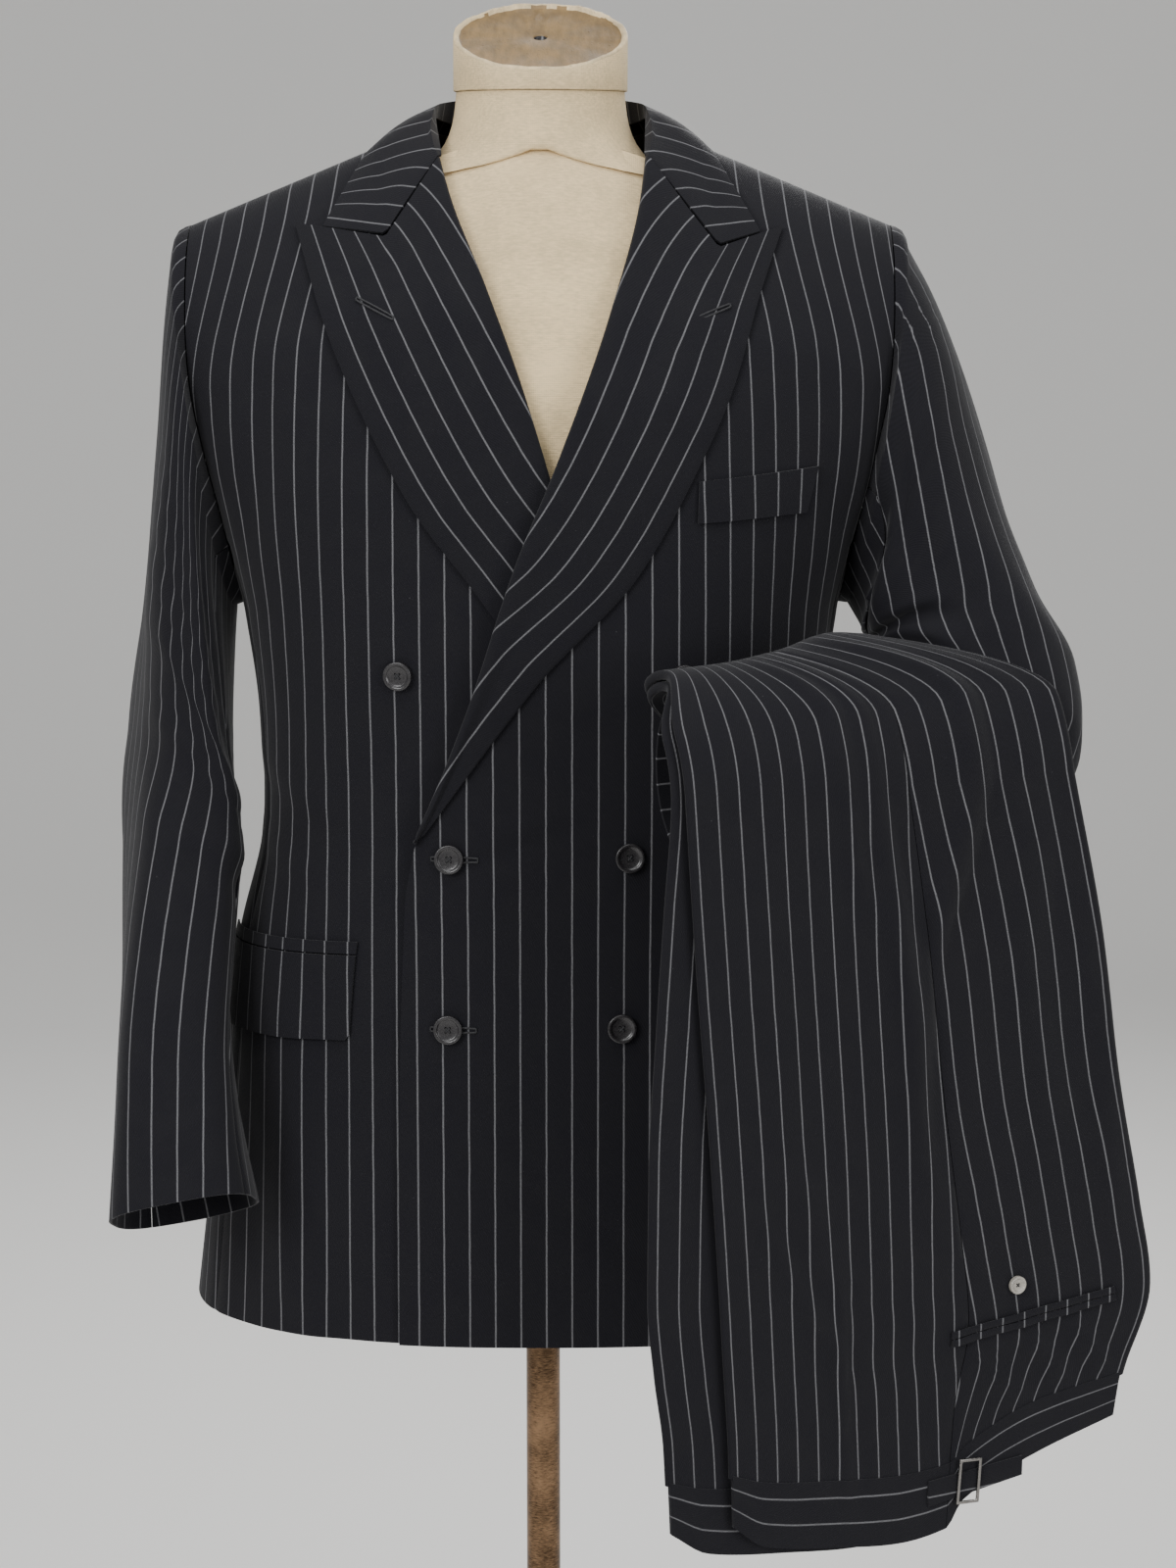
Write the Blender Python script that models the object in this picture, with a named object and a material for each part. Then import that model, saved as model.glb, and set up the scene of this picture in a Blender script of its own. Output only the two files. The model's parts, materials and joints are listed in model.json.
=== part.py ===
"""A double-breasted suit on a limbless dress form, its trousers hung over the bent sleeve.

Metres, +Z up. The origin is on the floor under the pole, the front faces -Y and the wearer's left is +X.
Run it with blender --background --python part.py, or from Blender's text editor.
"""

import math
from collections import namedtuple

import bmesh
import bpy
import numpy as np

# Cloth
WALL = 0.0020
SEAM_GAP = 0.0006
LAPEL_LIFT = 0.0016
LEFT_ROLL_RISE = 0.0030
RIGHT_ROLL_RISE = 0.0015
POCKET_LIFT = 0.0009

# Torso of the jacket: the outer face of the cloth at each height of the centre line.
# tilt is the drop for each metre from the centre line, side is the half width or the armhole's place,
# and front and back are the depths from the middle.
Level = namedtuple("Level", "height tilt side front back middle")
TORSO = (
    Level(0.722, 0.000, 0.253, 0.151, 0.146, 0.000),
    Level(0.860, 0.000, 0.236, 0.149, 0.147, 0.000),
    Level(0.985, 0.000, 0.219, 0.145, 0.134, 0.000),
    Level(1.080, 0.000, 0.199, 0.140, 0.117, 0.001),
    Level(1.150, 0.000, 0.2015, 0.143, 0.122, 0.003),
    Level(1.225, 0.000, 0.211, 0.149, 0.133, 0.005),
    Level(1.300, 0.060, 0.221, 0.151, 0.139, 0.008),
    Level(1.370, 0.145, 0.232, 0.146, 0.138, 0.010),
    Level(1.440, 0.240, 0.241, 0.134, 0.131, 0.012),
    Level(1.500, 0.320, 0.244, 0.115, 0.112, 0.012),
    Level(1.550, 0.375, 0.245, 0.100, 0.092, 0.012),
    Level(1.5915, 0.412, 0.2455, 0.088, 0.086, 0.012),
)
HEM = TORSO[0].height
SHOULDER = TORSO[-1].height
ROUND_FROM = 1.435
LEVEL_PASSES = 30
PLAN_POWER = 2.5
ARMPIT = 1.225
ARMHOLE_MIDDLE = 1.400
ARMHOLE_FRONT = 0.074
ARMHOLE_BACK = 0.080
FRONT_SEAM_TOP = 1.262
BACK_SEAM_TOP = 1.300
FRONT_SEAM_HEM_TURN = math.radians(66)
BACK_SEAM_HEM_TURN = math.radians(118)
NECK_SEAM = 1.545
NECK_POINT = 0.076
BACK_NECK_FROM = 1.40

# Fronts: the visible edge of the upper front, and the two roll lines that the lapels turn on.
Place = namedtuple("Place", "x z")
BREAK_HEIGHT = 1.075
LEFT_EDGE = (
    Place(-0.098, 0.70),
    Place(-0.096, 0.90),
    Place(-0.091, 1.030),
    Place(-0.083, 1.075),
)
LEFT_ROLL = (
    Place(-0.083, 1.075),
    Place(-0.070, 1.102),
    Place(-0.046, 1.165),
    Place(-0.011, 1.270),
    Place(0.016, 1.335),
    Place(0.050, 1.430),
    Place(0.070, 1.505),
    Place(0.076, 1.5600),
)
RIGHT_ROLL = (
    Place(0.083, 1.075),
    Place(0.070, 1.110),
    Place(0.045, 1.190),
    Place(0.007, 1.320),
    Place(-0.013, 1.385),
    Place(-0.037, 1.450),
    Place(-0.060, 1.505),
    Place(-0.076, 1.5600),
)
ROLL_DROP = 0.03
ROLL_DROP_FROM = 1.5
ROLL_DROP_OVER = 0.09
RIGHT_EDGE_PAST = 0.004
OVERLAP_LOW = 0.0045
OVERLAP_HIGH = 0.0100
OVERLAP_RISE_FROM = 0.98
OVERLAP_RISE_OVER = 0.12
OVERLAP_TOP_FROM = 1.36
OVERLAP_TOP_OVER = 0.10
OVERLAP_END = 0.100
OVERLAP_FADE = 0.075

# Lapels: outer edge from the break up to the peak, the gorge corner and the gorge's start on the roll.
LEFT_LAPEL = (
    Place(-0.0760, 1.0830),
    Place(-0.041, 1.133),
    Place(0.001, 1.190),
    Place(0.064, 1.258),
    Place(0.105, 1.331),
    Place(0.129, 1.383),
    Place(0.149, 1.444),
    Place(0.166, 1.4885),
)
RIGHT_LAPEL = (
    Place(0.0760, 1.0830),
    Place(0.041, 1.133),
    Place(-0.001, 1.190),
    Place(-0.045, 1.252),
    Place(-0.083, 1.302),
    Place(-0.114, 1.358),
    Place(-0.142, 1.420),
    Place(-0.167, 1.4905),
)
LEFT_GORGE = Place(0.1205, 1.4735)
RIGHT_GORGE = Place(-0.1025, 1.4805)
LEFT_NOTCH = Place(0.150, 1.4825)
RIGHT_NOTCH = Place(-0.147, 1.4860)
GORGE_START = 1.533
GORGE_SHARE = 0.5
LAPEL_ROWS = 14
LAPEL_COLUMNS = 8
ROLL_SHARE = 0.35
ROLL_START = 0.004

# Collar: rows run from its front end to the shoulder seam and on to the centre back. The stand's lower
# edge, the fold and the leaf's outer edge are placed at those last two.
COLLAR_STAND = 3
COLLAR_LEAF = 6
COLLAR_HALF_ROWS = 10
COLLAR_SHOULDER_ROW = 5
COLLAR_FOLD_BACK = np.array((0.0, 0.0930, 1.5840))
COLLAR_FOLD_SIDE = np.array((0.0735, 0.0120, 1.5730))
COLLAR_STAND_BACK = np.array((0.0, 0.0835, 1.5520))
COLLAR_STAND_SIDE = np.array((0.0735, 0.0120, 1.5655))
COLLAR_EDGE_BACK_LEVEL = 1.500
COLLAR_EDGE_SIDE_X = 0.1165
COLLAR_ARCH = 0.006
COLLAR_ARCH_FRONT = 0.25
COLLAR_ARCH_UP = 0.8
COLLAR_ARCH_OUT = 0.6
COLLAR_GORGE_SHARE = 0.6
COLLAR_GORGE_GAP = 0.0025
COLLAR_FRONT_FOLD = np.array((0.0, -0.002, 0.0))
COLLAR_FRONT_STAND = np.array((-0.0025, 0.001, 0.001))
COLLAR_FOLD_SWELL = 0.004
COLLAR_STAND_TOP = 0.86
COLLAR_EDGE_TURN = 1.5

# Buttons
FRONT_BUTTON = 0.020
SLEEVE_BUTTON = 0.015
BUTTON_THICK = 0.0040
BUTTON_LIFT = 0.0006
FRONT_BUTTONS = {
    "button_upper_right": Place(-0.095, 1.191),
    "button_upper_left": Place(0.095, 1.191),
    "button_middle_right": Place(-0.060, 1.066),
    "button_middle_left": Place(0.0605, 1.067),
    "button_lower_right": Place(-0.062, 0.948),
    "button_lower_left": Place(0.056, 0.949),
}
UNDER_FRONT_BUTTON = "button_upper_right"
SLEEVE_BUTTONS = 4
SLEEVE_BUTTON_FROM_CUFF = 0.034
SLEEVE_BUTTON_STEP = 0.0165
SLEEVE_BUTTON_LIFT = 0.0002

# Hip pockets and the breast welt, by their place on the front.
HIP_POCKET = Place(0.126, 0.996)
HIP_POCKET_LENGTH = 0.152
FLAP_DROP = 0.060
FLAP_ROWS = 5
JET_HEIGHT = 0.009
JET_GAP = 0.0006
HIP_JET_LIFT = 0.0010
HIP_JET_WALL = 0.0016
POCKET_SLOPE = -0.055
WELT_CORNERS = (Place(0.1045, 1.295), Place(0.181, 1.299), Place(0.1900, 1.330), Place(0.1055, 1.322))

# Sleeves: each ring joins an outer and an inner point of the tube and has a half depth across them.
# A straight share of the twist turns the cloth round the arm as it comes down.
# power is 2 for an oval section and more for one that hangs flat in front.
Ring = namedtuple("Ring", "row outer_x outer_y outer_z inner_x inner_y inner_z deep power")
HANGING_SLEEVE = (
    Ring(0, 0.2580, 0.008, 1.4750, 0.2190, 0.008, 1.222, 0.088, 2.0),
    Ring(1, 0.2640, 0.006, 1.4230, 0.2205, 0.006, 1.200, 0.091, 2.2),
    Ring(2, 0.2700, 0.003, 1.3550, 0.2215, 0.003, 1.170, 0.089, 2.6),
    Ring(3, 0.2775, -0.001, 1.2850, 0.2222, -0.001, 1.135, 0.085, 3.0),
    Ring(4, 0.2845, -0.007, 1.2100, 0.2220, -0.007, 1.098, 0.080, 3.2),
    Ring(5, 0.2895, -0.020, 1.1400, 0.2215, -0.020, 1.060, 0.075, 3.2),
    Ring(6, 0.2925, -0.044, 1.0700, 0.2210, -0.044, 1.020, 0.068, 3.2),
    Ring(7, 0.2935, -0.076, 1.0000, 0.2190, -0.076, 0.970, 0.061, 3.2),
    Ring(8, 0.2935, -0.108, 0.9330, 0.2150, -0.108, 0.920, 0.054, 3.2),
    Ring(9, 0.2930, -0.136, 0.8730, 0.2060, -0.136, 0.874, 0.049, 3.1),
    Ring(10, 0.2940, -0.160, 0.8120, 0.1950, -0.160, 0.832, 0.045, 3.0),
)
BENT_SLEEVE = (
    Ring(0, 0.2580, 0.008, 1.4750, 0.2190, 0.008, 1.224, 0.086, 2.0),
    Ring(1, 0.2760, 0.004, 1.4420, 0.2250, 0.004, 1.214, 0.087, 2.1),
    Ring(2, 0.2950, -0.004, 1.3960, 0.2285, -0.006, 1.208, 0.083, 2.3),
    Ring(3, 0.3110, -0.014, 1.3450, 0.2300, -0.020, 1.204, 0.077, 2.4),
    Ring(4, 0.3270, -0.026, 1.2910, 0.2320, -0.036, 1.201, 0.070, 2.4),
    Ring(5, 0.3480, -0.041, 1.2360, 0.2340, -0.053, 1.198, 0.063, 2.3),
    Ring(6, 0.3710, -0.061, 1.1820, 0.2360, -0.070, 1.196, 0.057, 2.1),
    Ring(7, 0.3750, -0.079, 1.1300, 0.2370, -0.084, 1.194, 0.052, 2.0),
    Ring(8, 0.3490, -0.093, 1.0880, 0.2365, -0.096, 1.193, 0.048, 2.0),
    Ring(9, 0.3040, -0.120, 1.0730, 0.2320, -0.126, 1.197, 0.045, 2.0),
    Ring(10, 0.2580, -0.148, 1.0740, 0.2180, -0.160, 1.1958, 0.0432, 2.0),
    Ring(11, 0.1900, -0.180, 1.0760, 0.1800, -0.182, 1.1954, 0.0428, 2.0),
    Ring(12, 0.0990, -0.2255, 1.0800, 0.0960, -0.227, 1.1934, 0.0419, 2.0),
)
# side is +1 for the wearer's left. twist turns the cloth round the arm down to the cuff. The seams and the
# buttons are at angles from the arm's outer side.
Arm = namedtuple("Arm", "rings rows side twist back_seam front_seam buttons")
ARMS = {
    "right": Arm(HANGING_SLEEVE, 14, -1, *np.radians((25, -85, 132, -54))),
    "left": Arm(BENT_SLEEVE, 20, 1, *np.radians((90, -118, 110, -101))),
}
TWIST_SHARE = 0.55
SLEEVE_SEAM_PAD = 0.006
SLEEVE_JOIN = 0.0006
RING_SETTLED = 6.0

# Trousers: folded on the creases and hung over the forearm, along the line of its axis.
DRAPE_ORIGIN = np.array((0.098, -0.2260))
DRAPE_SLOPE = 0.50
DRAPE_HEIGHT = 1.130
DRAPE_HALF_WIDE = 0.0445
DRAPE_HALF_HIGH = 0.0560
LEG_THICK = 0.0062
LEG_GAP = 0.0012
LEG_SKIN = 0.0012
LEG_SEAM_SHARE = 0.0012
BACK_DROP = 0.400
BACK_LEAN = 0.022
BACK_LEAN_RATE = 1.8
Side = namedtuple("Side", "z left right")
NEAR_LEG = (
    Side(1.190, 0.094, 0.3450),
    Side(1.130, 0.098, 0.3580),
    Side(1.016, 0.106, 0.3820),
    Side(0.918, 0.114, 0.3960),
    Side(0.822, 0.121, 0.4149),
    Side(0.758, 0.125, 0.4250),
    Side(0.690, 0.129, 0.4050),
    Side(0.600, 0.131, 0.3950),
)
FAR_LEG = (
    Side(1.190, 0.086, 0.3400),
    Side(1.130, 0.089, 0.3500),
    Side(1.063, 0.085, 0.3620),
    Side(0.995, 0.081, 0.3750),
    Side(0.891, 0.076, 0.3950),
    Side(0.803, 0.0755, 0.4100),
    Side(0.750, 0.080, 0.4150),
    Side(0.700, 0.086, 0.3950),
    Side(0.600, 0.090, 0.3850),
)
BACK_LEFT = -0.030
BACK_RIGHT = 0.134
Crest = namedtuple("Crest", "share rise")
CRESTS = (Crest(0.0, 0.0075), Crest(0.3, 0.0095), Crest(0.6, 0.016), Crest(0.85, 0.025), Crest(1.0, 0.023))
SIDE_SEAM_SHARE = 0.56
FRONT_SHARES = np.linspace(0.0, SIDE_SEAM_SHARE - LEG_SEAM_SHARE, 7)
BACK_SHARES = np.linspace(SIDE_SEAM_SHARE + LEG_SEAM_SHARE, 1.0, 6)
LEG_OUT = {"far": LEG_SKIN, "near": LEG_SKIN + LEG_THICK + LEG_GAP}
TURN_BACK_FROM = math.radians(56)
Waist = namedtuple("Waist", "share seam edge")
WAISTLINE = (
    Waist(0.00, 0.6740, 0.6400),
    Waist(0.08, 0.6650, 0.6220),
    Waist(0.25, 0.6570, 0.6120),
    Waist(0.45, 0.6510, 0.6050),
    Waist(0.56, 0.6530, 0.6090),
    Waist(0.60, 0.6640, 0.6270),
    Waist(0.78, 0.6870, 0.6500),
    Waist(1.00, 0.6960, 0.6680),
)

WAISTBAND_THICK = 0.0035
POCKET_JET_UPPER = (Place(0.281, 0.7450), Place(0.401, 0.7580), Place(0.400, 0.7630), Place(0.281, 0.7500))
POCKET_JET_LOWER = (Place(0.281, 0.7394), Place(0.402, 0.7524), Place(0.401, 0.7574), Place(0.281, 0.7444))
JET_LIFT = 0.0006
JET_WALL = 0.0014
POCKET_BUTTON = Place(0.3269, 0.7760)
POCKET_BUTTON_WIDE = 0.0125
STRAP = (Place(0.266, 0.6280), Place(0.334, 0.6380), Place(0.334, 0.6520), Place(0.266, 0.6460))
STRAP_LIFT = 0.0006
BUCKLE_MIDDLE = Place(0.2945, 0.6420)
BUCKLE_WIDE = 0.016
BUCKLE_HIGH = 0.030
BUCKLE_WIRE = 0.0022
BUCKLE_LIFT = 0.0032

# Dress form
Gap = namedtuple("Gap", "height inward")
FORM_GAPS = (
    Gap(0.790, 0.0070),
    Gap(1.225, 0.0070),
    Gap(1.330, 0.0050),
    Gap(1.435, 0.0034),
    Gap(1.510, 0.0034),
    Gap(1.560, 0.0052),
    Gap(1.592, 0.0056),
)
FORM_BOTTOM = 0.790
FORM_DISH = 0.006
NECK_RADIUS = 0.059
NECK_TOP = 1.582
NECK_MIDDLE = 0.014
NECK_FOOT = 1.44
NECK_FOOT_FLARE = 0.004
NECK_BASE = 1.53
NECK_BASE_FLARE = 0.003
FORM_SIDE_GAP = 0.0105
FORM_COLUMNS = 28
FORM_CROWN = 0.001
CAP_RADIUS = 0.061
CAP_THICK = 0.014
CAP_TILT = math.radians(22.3)
POLE_RADIUS = 0.0125
BASE_RADIUS = 0.195
BASE_THICK = 0.022
SOCKET_RADIUS = 0.021
SOCKET_HEIGHT = 0.036
TOUCH = 0.0003

Paint = namedtuple("Paint", "red green blue rough metal")
PAINTS = {
    "suit_cloth": Paint(0.017, 0.018, 0.026, 0.82, 0.0),
    "collar_cloth": Paint(0.016, 0.017, 0.025, 0.82, 0.0),
    "horn": Paint(0.030, 0.024, 0.022, 0.32, 0.0),
    "pocket_horn": Paint(0.200, 0.180, 0.165, 0.40, 0.0),
    "form_linen": Paint(0.560, 0.470, 0.350, 0.90, 0.0),
    "cap_wood": Paint(0.610, 0.490, 0.350, 0.55, 0.0),
    "pole_brass": Paint(0.240, 0.150, 0.080, 0.38, 1.0),
    "base_brass": Paint(0.240, 0.150, 0.080, 0.38, 1.0),
    "buckle_steel": Paint(0.450, 0.440, 0.430, 0.30, 1.0),
}


def clear_scene():
    for thing in list(bpy.data.objects):
        bpy.data.objects.remove(thing, do_unlink=True)


def material(name):
    found = bpy.data.materials.get(name)
    if found:
        return found
    paint = PAINTS[name]
    made = bpy.data.materials.new(name)
    made.use_nodes = True
    shader = made.node_tree.nodes["Principled BSDF"]
    shader.inputs["Base Color"].default_value = (paint.red, paint.green, paint.blue, 1)
    shader.inputs["Roughness"].default_value = paint.rough
    shader.inputs["Metallic"].default_value = paint.metal
    return made


def read(table, column, at):
    """The column's value at one or more places of the table's first column, by a smooth curve."""
    key = np.array([row[0] for row in table], float)
    value = np.array([getattr(row, column) for row in table], float)
    step = np.diff(key)
    slope = np.diff(value) / step
    joint = np.zeros(len(key))
    same = slope[:-1] * slope[1:] > 0
    weight = (step[:-1] + step[1:])[same]
    joint[1:-1][same] = 2 * weight / (weight / slope[:-1][same] + weight / slope[1:][same])
    joint[0] = slope[0]
    joint[-1] = slope[-1]
    at = np.clip(np.asarray(at, float), key[0], key[-1])
    cell = np.clip(np.searchsorted(key, at, side="right") - 1, 0, len(key) - 2)
    part = (at - key[cell]) / step[cell]
    return (
        value[cell] * (1 + 2 * part) * (1 - part) ** 2
        + joint[cell] * step[cell] * part * (1 - part) ** 2
        + value[cell + 1] * part**2 * (3 - 2 * part)
        + joint[cell + 1] * step[cell] * part**2 * (part - 1)
    )


def by_height(places):
    """The same places as rows that read() can look up by height."""
    row = namedtuple("ByHeight", "z x")
    return tuple(row(place.z, place.x) for place in sorted(places, key=lambda p: p.z))


def smooth(value):
    value = np.clip(value, 0, 1)
    return value * value * (3 - 2 * value)


def mix(first, second, share):
    return first + (second - first) * share


def round_off(height):
    """How far the front and back stand off the shoulder seam, from 1 down to 0 at the seam."""
    share = np.clip((height - ROUND_FROM) / (SHOULDER - ROUND_FROM), 0, 1)
    return np.sqrt(1 - share**2)


def arm_share(height, half_depth):
    """The armhole's half depth at this level, before the shoulder's rounding."""
    share = np.clip((ARMHOLE_MIDDLE - height) / (ARMHOLE_MIDDLE - ARMPIT), 0, 1)
    return np.where(height > ARMPIT, half_depth * np.sqrt(1 - share**2), 0)


def plan(turn, height):
    """(side, reach, depth) of the level's half outline on the side that this turn faces."""
    ahead = np.cos(turn) >= 0
    depth = np.where(ahead, read(TORSO, "front", height), read(TORSO, "back", height))
    arm = np.where(ahead, arm_share(height, ARMHOLE_FRONT), arm_share(height, ARMHOLE_BACK))
    side = read(TORSO, "side", height)
    reach = side / (1 - (arm / depth) ** PLAN_POWER) ** (1 / PLAN_POWER)
    return side, reach, depth


def torso(turn, height):
    """Points of the jacket's outer face. A turn of 0 is the centre front, and a quarter turn is the left side."""
    turn, height = np.broadcast_arrays(np.asarray(turn, float), np.asarray(height, float))
    _, reach, depth = plan(turn, height)
    across = np.sin(turn)
    along = np.cos(turn)
    x = reach * np.sign(across) * np.abs(across) ** (2 / PLAN_POWER)
    y = -depth * round_off(height) * np.sign(along) * np.abs(along) ** (2 / PLAN_POWER)
    z = height - read(TORSO, "tilt", height) * np.abs(x)
    return np.stack((x, y + read(TORSO, "middle", height), z), axis=-1)


def torso_normal(turn, height):
    small = 1e-4
    turn, height = np.broadcast_arrays(np.asarray(turn, float), np.asarray(height, float))
    low = np.maximum(height - small, HEM)
    high = np.minimum(height + small, SHOULDER)
    round_body = torso(turn + small, height) - torso(turn - small, height)
    up_body = torso(turn, high) - torso(turn, low)
    normal = np.cross(round_body, up_body)
    return normal / np.linalg.norm(normal, axis=-1, keepdims=True)


def offset(turn, height, out):
    return torso(turn, height) + torso_normal(turn, height) * np.asarray(out, float)[..., None]


def turn_at(x, height, behind=False):
    """The turn that has this x at this level."""
    facing = math.pi if behind else 0.0
    _, reach, _ = plan(np.full_like(np.asarray(height, float), facing), height)
    share = np.clip(np.abs(x) / reach, 0, 1) ** (PLAN_POWER / 2)
    turn = np.sign(x) * np.arcsin(share)
    return np.sign(x) * math.pi - turn if behind else turn


def level_at(x, z):
    """The level whose tilted line passes through this x and z."""
    x, z = np.broadcast_arrays(np.asarray(x, float), np.asarray(z, float))
    height = z.copy()
    for _ in range(LEVEL_PASSES):
        height = np.clip(z + read(TORSO, "tilt", height) * np.abs(x), HEM, SHOULDER)
    return height


def armhole_turn(height, behind=False):
    side = read(TORSO, "side", height)
    return np.abs(turn_at(side, height, behind))


def front_seam_turn(height):
    """The seam between front and side panel: straight up from the hem, then the armhole's front edge."""
    height = np.asarray(height, float)
    top = armhole_turn(np.array(FRONT_SEAM_TOP))
    below = mix(FRONT_SEAM_HEM_TURN, top, smooth((height - HEM) / (FRONT_SEAM_TOP - HEM)))
    return np.where(height < FRONT_SEAM_TOP, below, armhole_turn(height))


def back_seam_turn(height):
    height = np.asarray(height, float)
    top = armhole_turn(np.array(BACK_SEAM_TOP), behind=True)
    below = mix(BACK_SEAM_HEM_TURN, top, smooth((height - HEM) / (BACK_SEAM_TOP - HEM)))
    return np.where(height < BACK_SEAM_TOP, below, armhole_turn(height, behind=True))


def spread(first, last, height, columns):
    """Turns from first to last at this level, evenly spaced along the cloth, clear of the seams at both ends."""
    dense = np.linspace(first, last, 120)
    points = torso(dense, height)
    run = np.concatenate(([0], np.cumsum(np.linalg.norm(np.diff(points, axis=0), axis=1))))
    wanted = np.linspace(SEAM_GAP / 2, run[-1] - SEAM_GAP / 2, columns)
    return np.interp(wanted, run, dense)


def panel_levels(seam_top, lower_rows, upper_rows):
    """Levels from the hem to the seam's top, then to the shoulder, closer where the shoulder rounds over."""
    lower = np.linspace(HEM, seam_top, lower_rows)
    straight = np.linspace(seam_top, ROUND_FROM, upper_rows // 2 + 1)[1:]
    angle = np.linspace(0, math.pi / 2, upper_rows - upper_rows // 2 + 1)[1:]
    rounded = ROUND_FROM + (SHOULDER - ROUND_FROM) * np.sin(angle)
    return np.concatenate((lower, straight, rounded))


def wall_mesh(name, outer, inner, paint):
    """One closed wall between two grids of points, whose rims are closed all round."""
    rows, columns = outer.shape[:2]
    mesh = bmesh.new()
    skins = [[[mesh.verts.new(point) for point in row] for row in grid] for grid in (outer, inner)]
    for skin in skins:
        for row in range(rows - 1):
            for column in range(columns - 1):
                corners = (
                    skin[row][column],
                    skin[row][column + 1],
                    skin[row + 1][column + 1],
                    skin[row + 1][column],
                )
                mesh.faces.new(corners)
    rim = [(0, column) for column in range(columns)]
    rim += [(row, columns - 1) for row in range(1, rows)]
    rim += [(rows - 1, column) for column in range(columns - 2, -1, -1)]
    rim += [(row, 0) for row in range(rows - 2, 0, -1)]
    for here, there in zip(rim, rim[1:] + rim[:1]):
        mesh.faces.new(
            (
                skins[0][here[0]][here[1]],
                skins[0][there[0]][there[1]],
                skins[1][there[0]][there[1]],
                skins[1][here[0]][here[1]],
            )
        )
    return finish(name, mesh, paint)


def finish(name, mesh, paint, sharp=0.7):
    """Makes an object of the mesh, with its faces out."""
    bmesh.ops.recalc_face_normals(mesh, faces=mesh.faces)
    data = bpy.data.meshes.new(name)
    mesh.to_mesh(data)
    mesh.free()
    data.materials.append(material(paint))
    data.shade_smooth()
    data.set_sharp_from_angle(angle=sharp)
    made = bpy.data.objects.new(name, data)
    bpy.context.scene.collection.objects.link(made)
    return made


def body_wall(name, turns, levels, out, wall=WALL, nudge=None):
    """A panel of the jacket's body over a grid of turns and levels, out from the torso."""
    out = np.broadcast_to(out, np.broadcast(turns, levels).shape)
    outer = offset(turns, levels, out)
    inner = offset(turns, levels, out - wall)
    if nudge is not None:
        outer[-1] += nudge
        inner[-1] += nudge
    return wall_mesh(name, outer, inner, "suit_cloth")


def overlap_lift(x, z):
    """How far the left front stands off the right front that it laps over."""
    height = mix(OVERLAP_LOW, OVERLAP_HIGH, smooth((np.asarray(z) - OVERLAP_RISE_FROM) / OVERLAP_RISE_OVER))
    height = height * (1 - smooth((np.asarray(z) - OVERLAP_TOP_FROM) / OVERLAP_TOP_OVER))
    return height * (1 - smooth((x - OVERLAP_END) / OVERLAP_FADE))


def roll_x(roll, level):
    """x of a front's edge on its roll line, which reaches the shoulder seam a little late."""
    return read(by_height(roll), "x", level - ROLL_DROP * smooth((level - ROLL_DROP_FROM) / ROLL_DROP_OVER))


def left_front_edge(level):
    """x of the left front's edge: the overlap's edge below the break and the roll line above it."""
    return np.where(level < BREAK_HEIGHT, read(by_height(LEFT_EDGE), "x", level), roll_x(LEFT_ROLL, level))


def right_front_edge(level):
    below = -read(by_height(LEFT_EDGE), "x", level) - RIGHT_EDGE_PAST
    return np.where(level < BREAK_HEIGHT, below, roll_x(RIGHT_ROLL, level))


def front_panel(name, side, edge):
    levels = panel_levels(FRONT_SEAM_TOP, 9, 8)
    turns = []
    for level in levels:
        first = float(turn_at(edge(level), level))
        last = side * float(front_seam_turn(level))
        turns.append(spread(first, last, level, 12))
    turns = np.array(turns)
    grid = np.broadcast_to(levels[:, None], turns.shape)
    points = torso(turns, grid)
    lift = overlap_lift(points[..., 0], points[..., 2]) if side > 0 else 0.0
    return body_wall(name, turns, grid, lift, nudge=(0, -SEAM_GAP / 2, 0))


def back_neck_level(turn):
    """The level of the back's top edge: the neck seam near the centre, the shoulder seam beyond."""
    x = np.abs(torso(turn, np.full_like(turn, NECK_SEAM))[..., 0])
    return mix(NECK_SEAM, SHOULDER, smooth(x / NECK_POINT) ** 2)


def back_panel(name, side):
    levels = panel_levels(BACK_SEAM_TOP, 9, 8)
    turns = []
    grid = []
    for level in levels:
        last = side * float(back_seam_turn(level))
        row = spread(side * math.pi, last, level, 9)
        turns.append(row)
        share = smooth((level - BACK_NECK_FROM) / (SHOULDER - BACK_NECK_FROM))
        grid.append(mix(level, np.minimum(level, back_neck_level(row)), share))
    turns = np.array(turns)
    grid = np.array(grid)
    return body_wall(name, turns, grid, 0.0, nudge=(0, SEAM_GAP / 2, 0))


def side_panel(name, side):
    columns = 7
    rows = 9
    turns = np.zeros((rows, columns))
    grid = np.zeros((rows, columns))
    dense = np.linspace(ARMPIT, BACK_SEAM_TOP, 300)
    front = armhole_turn(dense)
    behind = armhole_turn(dense, behind=True)
    for row in range(rows):
        share = row / (rows - 1)
        low = mix(HEM, FRONT_SEAM_TOP, share)
        first = float(front_seam_turn(mix(HEM, FRONT_SEAM_TOP, share)))
        last = float(back_seam_turn(mix(HEM, BACK_SEAM_TOP, share)))
        turns[row] = spread(first, last, min(low, ARMPIT), columns)
    for column in range(columns):
        turn = turns[-1, column]
        top = np.interp(-turn, -front, dense) if turn < math.pi / 2 else np.interp(turn, behind, dense)
        grid[:, column] = np.linspace(HEM, max(top, ARMPIT), rows)
    return body_wall(name, side * turns, grid, 0.0)


def roll_point(roll, share):
    """A point of the roll line, from the break at 0 to the gorge's start at 1."""
    z = mix(BREAK_HEIGHT + ROLL_START, GORGE_START, share)
    return read(by_height(roll), "x", z), z


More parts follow.
